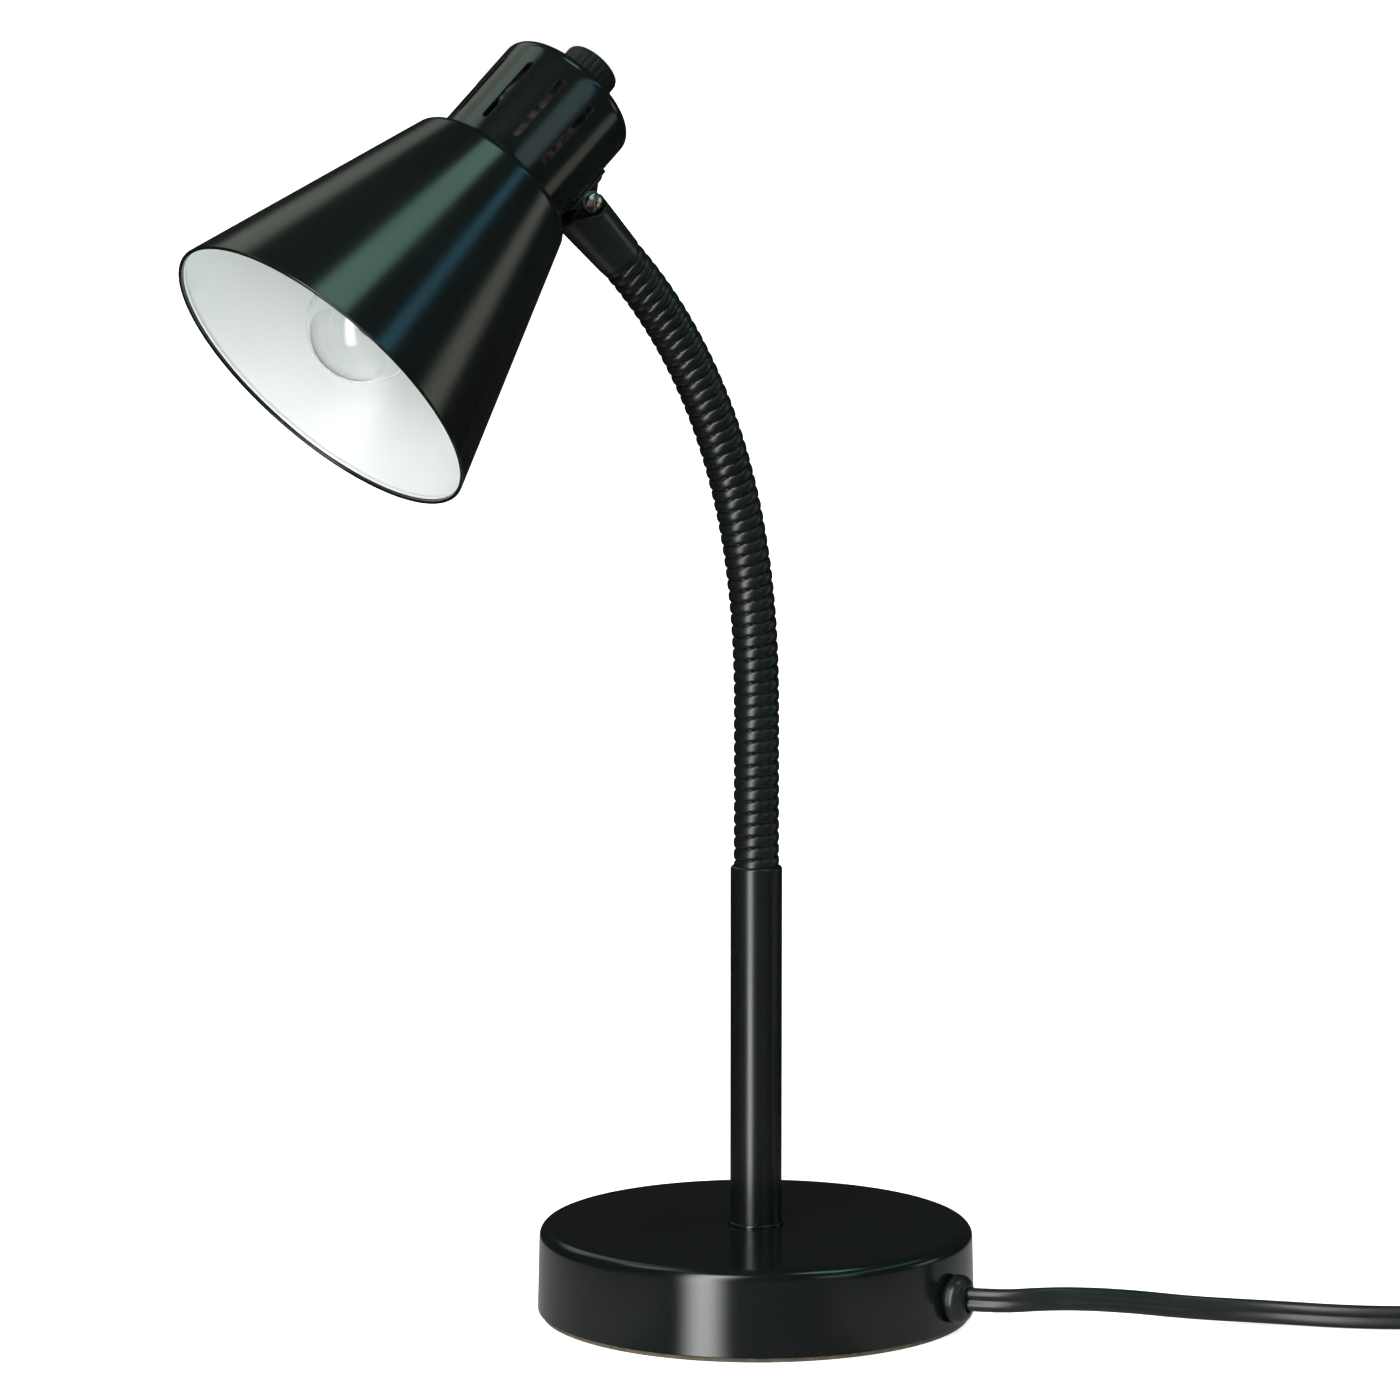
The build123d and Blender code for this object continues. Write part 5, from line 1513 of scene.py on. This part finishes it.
@dataclass(frozen=True)
class SoftBox:
    """A light far away, seen in gloss as a patch: its direction, half sizes and edge in degrees."""

    azimuth: float
    height: float
    half_width: float
    half_height: float
    edge: float
    colour: tuple[float, float, float]

    def add_to(self, tree: bpy.types.NodeTree, way: bpy.types.NodeSocket,
               studio: "Studio") -> bpy.types.NodeSocket:
        """Nodes of the patch: colour·window(way·across)·window(way·upward)·(way·middle > 0).

        Args:
            tree: the world's node tree.
            way: direction of the ray.
            studio: gives the camera's azimuth that directions are counted from.

        Returns:
            The socket of its colour.
        """
        az, el = radians(self.azimuth + studio.camera_azimuth), radians(self.height)
        middle, upward = direction(az, el), direction(az, el + pi / 2)
        across = (cos(az), sin(az), 0.0)
        shares = []
        for axis, half in ((across, self.half_width), (upward, self.half_height)):
            dot = add_node(tree, "VectorMath", {0: way, 1: axis}, operation="DOT_PRODUCT")
            size = add_node(tree, "Math", {0: dot.outputs["Value"]}, operation="ABSOLUTE")
            window = add_node(tree, "MapRange", {"Value": size.outputs[0],
                                                 "From Min": sin(radians(half + self.edge / 2)),
                                                 "From Max": sin(radians(max(0, half - self.edge / 2)))},
                              interpolation_type="SMOOTHSTEP")
            shares.append(window.outputs["Result"])
        front = add_node(tree, "VectorMath", {0: way, 1: middle}, operation="DOT_PRODUCT")
        ahead = add_node(tree, "Math", {0: front.outputs["Value"], 1: 0.0}, operation="GREATER_THAN")
        both = add_node(tree, "Math", {0: shares[0], 1: shares[1]}, operation="MULTIPLY")
        share = add_node(tree, "Math", {0: both.outputs[0], 1: ahead.outputs[0]}, operation="MULTIPLY")
        return add_node(tree, "VectorMath", {0: self.colour, "Scale": share.outputs[0]},
                        operation="SCALE").outputs["Vector"]


@dataclass(frozen=True)
class Studio:
    """Camera, pale floor, soft boxes and fill light.

    fill is the strength of the lamps, glow what the floor adds for the camera alone, and the next two
    fields are the brightness and the radius in millimetres of a painted reflection: a patch of the floor that
    glows for gloss alone. The first box is the tall main window, and the others are dim patches of the room.
    """

    camera_azimuth: float = -36.175
    location: tuple[float, float, float] = (-1.1586, -1.5549, 0.4628)
    forward: tuple[float, float, float] = (0.5846, 0.7994, -0.1383)
    upward: tuple[float, float, float] = (0.0816, 0.1116, 0.9904)
    lens: float = 164.0
    fill: float = 0.6
    glow: float = 0.7
    painted_reflection: float = 0.37
    reach: float = 135.0
    boxes: tuple[SoftBox, ...] = (
        SoftBox(-28, 12, 8, 46, 14, (10.5, 10.5, 10.5)),
        SoftBox(82, 68, 9, 9, 4, (1.4, 2.6, 2.15)),
        SoftBox(-113, 60, 13, 9, 9, (1.1, 1.5, 1.3)),
        SoftBox(83, 35, 22, 3.5, 3, (0.32, 1.05, 1.45)),
        SoftBox(45, 25, 10, 11, 8, (0.65, 0.95, 0.97)),
        SoftBox(101, 3.5, 8, 7, 6, (1.15, 1.2, 1.0)),
        SoftBox(88, -17, 9, 5, 3, (0.8, 0.82, 0.7)),
        SoftBox(-147, 40, 14, 12, 10, (0.7, 0.76, 0.64)),
        SoftBox(-62, -6, 14, 14, 12, (0.14, 0.14, 0.14)),
        SoftBox(20, -6, 30, 14, 14, (0.13, 0.13, 0.13)),
    )

    def place_camera(self) -> None:
        """Camera at its fitted place, looking down at the lamp."""
        forward = unit(np.array(self.forward))
        data = bpy.data.cameras.new("camera")
        data.lens, data.sensor_width, data.clip_end = self.lens, 36.0, 100.0
        camera = put_in_scene("camera", data)
        camera.matrix_world = standing(unit(np.cross(forward, self.upward)), -forward, self.location)
        bpy.context.scene.camera = camera

    def make_world(self) -> None:
        """World that shows plain white, and lights with the sum of the soft boxes."""
        world = bpy.data.worlds.new("studio")
        world.use_nodes = True
        bpy.context.scene.world = world
        tree = world.node_tree
        tree.nodes.clear()
        way = add_node(tree, "TexCoord").outputs["Generated"]
        total = add_node(tree, "CombineXYZ", {0: 0.02, 1: 0.02, 2: 0.02}).outputs[0]
        for box in self.boxes:
            total = add_node(tree, "VectorMath", {0: total, 1: box.add_to(tree, way, self)},
                             operation="ADD").outputs["Vector"]
        seen = add_node(tree, "LightPath").outputs["Is Camera Ray"]
        colour = add_node(tree, "Mix", {0: seen, 6: total, 7: (1.0, 1.0, 1.0, 1.0)}, data_type="RGBA")
        light = add_node(tree, "Background", {"Color": colour.outputs[2], "Strength": 1.0})
        add_node(tree, "OutputWorld", {"Surface": light.outputs[0]})

    def dress_floor(self) -> bpy.types.Material:
        """White paper that glows to the camera, and that gloss sees as a dim patch round the base alone.

        The patch is a painted reflection: its brightness·(1 - smoothstep(reach, 1.8 reach, distance))·side.
        Side is painted shade: 1 to the sides and behind, falling to a tenth towards the front, where the
        base's shadow lies, as the cosine of the turn from the front goes from 0.72 to 0.9.
        Elsewhere gloss looks through the floor.

        Returns:
            The material.
        """
        paper = Finish("matt_white_paper", "pad_sheet", "#F4F4F3", "#F2F2F1", Skin.PRESSED, (0.9, 1.0),
                       60, 2.0, 0.01).material
        tree = paper.node_tree
        shader = tree.nodes["Principled BSDF"]
        shader.inputs["Emission Color"].default_value = linear("#FFFFFF")
        rays = add_node(tree, "LightPath")
        glow = add_node(tree, "Math", {0: rays.outputs["Is Camera Ray"], 1: self.glow}, operation="MULTIPLY")
        tree.links.new(glow.outputs[0], shader.inputs["Emission Strength"])
        where = add_node(tree, "TexCoord").outputs["Object"]
        distance = add_node(tree, "VectorMath", {0: where}, operation="LENGTH")
        near = add_node(tree, "MapRange", {"Value": distance.outputs["Value"],
                                           "From Min": 1.8 * self.reach * MM, "From Max": self.reach * MM},
                        interpolation_type="SMOOTHSTEP")
        front = direction(radians(self.camera_azimuth - 5), 0.0)
        ahead = add_node(tree, "VectorMath", {0: where, 1: front}, operation="DOT_PRODUCT")
        share = add_node(tree, "Math", {0: ahead.outputs["Value"], 1: distance.outputs["Value"]},
                         operation="DIVIDE")
        # Painted shade: the glow that gloss sees falls to a tenth towards the front, where the base's shadow
        # lies.
        side = add_node(tree, "MapRange", {"Value": share.outputs[0], "From Min": 0.72, "From Max": 0.9,
                                           "To Min": 1.0, "To Max": 0.1}, interpolation_type="SMOOTHSTEP")
        patch = add_node(tree, "Math", {0: near.outputs["Result"], 1: side.outputs["Result"]},
                         operation="MULTIPLY")
        # Painted reflection: an emission on the floor that gloss alone sees.
        painted_reflection = add_node(tree, "Emission", {"Strength": self.painted_reflection})
        clear = add_node(tree, "BsdfTransparent")
        dim = add_node(tree, "MixShader", {0: patch.outputs[0], 1: clear.outputs[0], 2: painted_reflection.outputs[0]})
        both = add_node(tree, "MixShader", {0: rays.outputs["Is Glossy Ray"],
                                            1: shader.outputs[0], 2: dim.outputs[0]})
        tree.links.new(both.outputs[0], tree.nodes["Material Output"].inputs["Surface"])
        return paper

    def make_floor(self) -> None:
        """Pale round floor, a hair below the pad."""
        radii = np.array((0.0, 80, 200, 400, 800, 1500, 3000, 9000))
        surface = turned(np.stack((radii, 0 * radii - 0.02), -1), WORLD)
        mesh = bpy.data.meshes.new("floor")
        mesh.from_pydata((surface.points * MM).tolist(), [], surface.quads.tolist())
        mesh.materials.append(self.dress_floor())
        put_in_scene("floor", mesh)

    def make_fill(self) -> None:
        """Wide far lamps from above and from the camera's side, that only matt surfaces see."""
        for name, azimuth, height, spread, power in (
            ("fill_over", 20, 72, 80, 3.6 * self.fill),
            ("fill_front", -30, 15, 70, 0.6 * self.fill),
        ):
            data = bpy.data.lights.new(name, "SUN")
            data.angle, data.energy = radians(spread), power
            lamp = put_in_scene(name, data)
            turn = radians(azimuth + self.camera_azimuth)
            back = np.array(direction(turn, radians(height)))
            lamp.matrix_world = standing(np.array((cos(turn), sin(turn), 0.0)), back, back)
            lamp.visible_glossy = lamp.visible_camera = False

    def build(self) -> None:
        """Set the light, the floor and the plain view transform."""
        self.make_world()
        self.make_floor()
        self.make_fill()
        bpy.context.scene.view_settings.view_transform = "Standard"


def main() -> None:
    """Build the lamp in order."""
    logging.basicConfig(level=logging.INFO, format="%(name)s: %(message)s")
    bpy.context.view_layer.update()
    studio = Studio()
    studio.place_camera()
    MainsCord().build()
    Base().build()
    Stem().build()
    Gooseneck().build()
    pivot = Pivot()
    pivot.build()
    Shade(pivot.head_place).build()
    SocketCup(pivot.head_place).build()
    SocketAndSwitch(pivot.head_place).build()
    Bulb(pivot.head_place).build()
    studio.build()


if __name__ == "__main__":
    main()
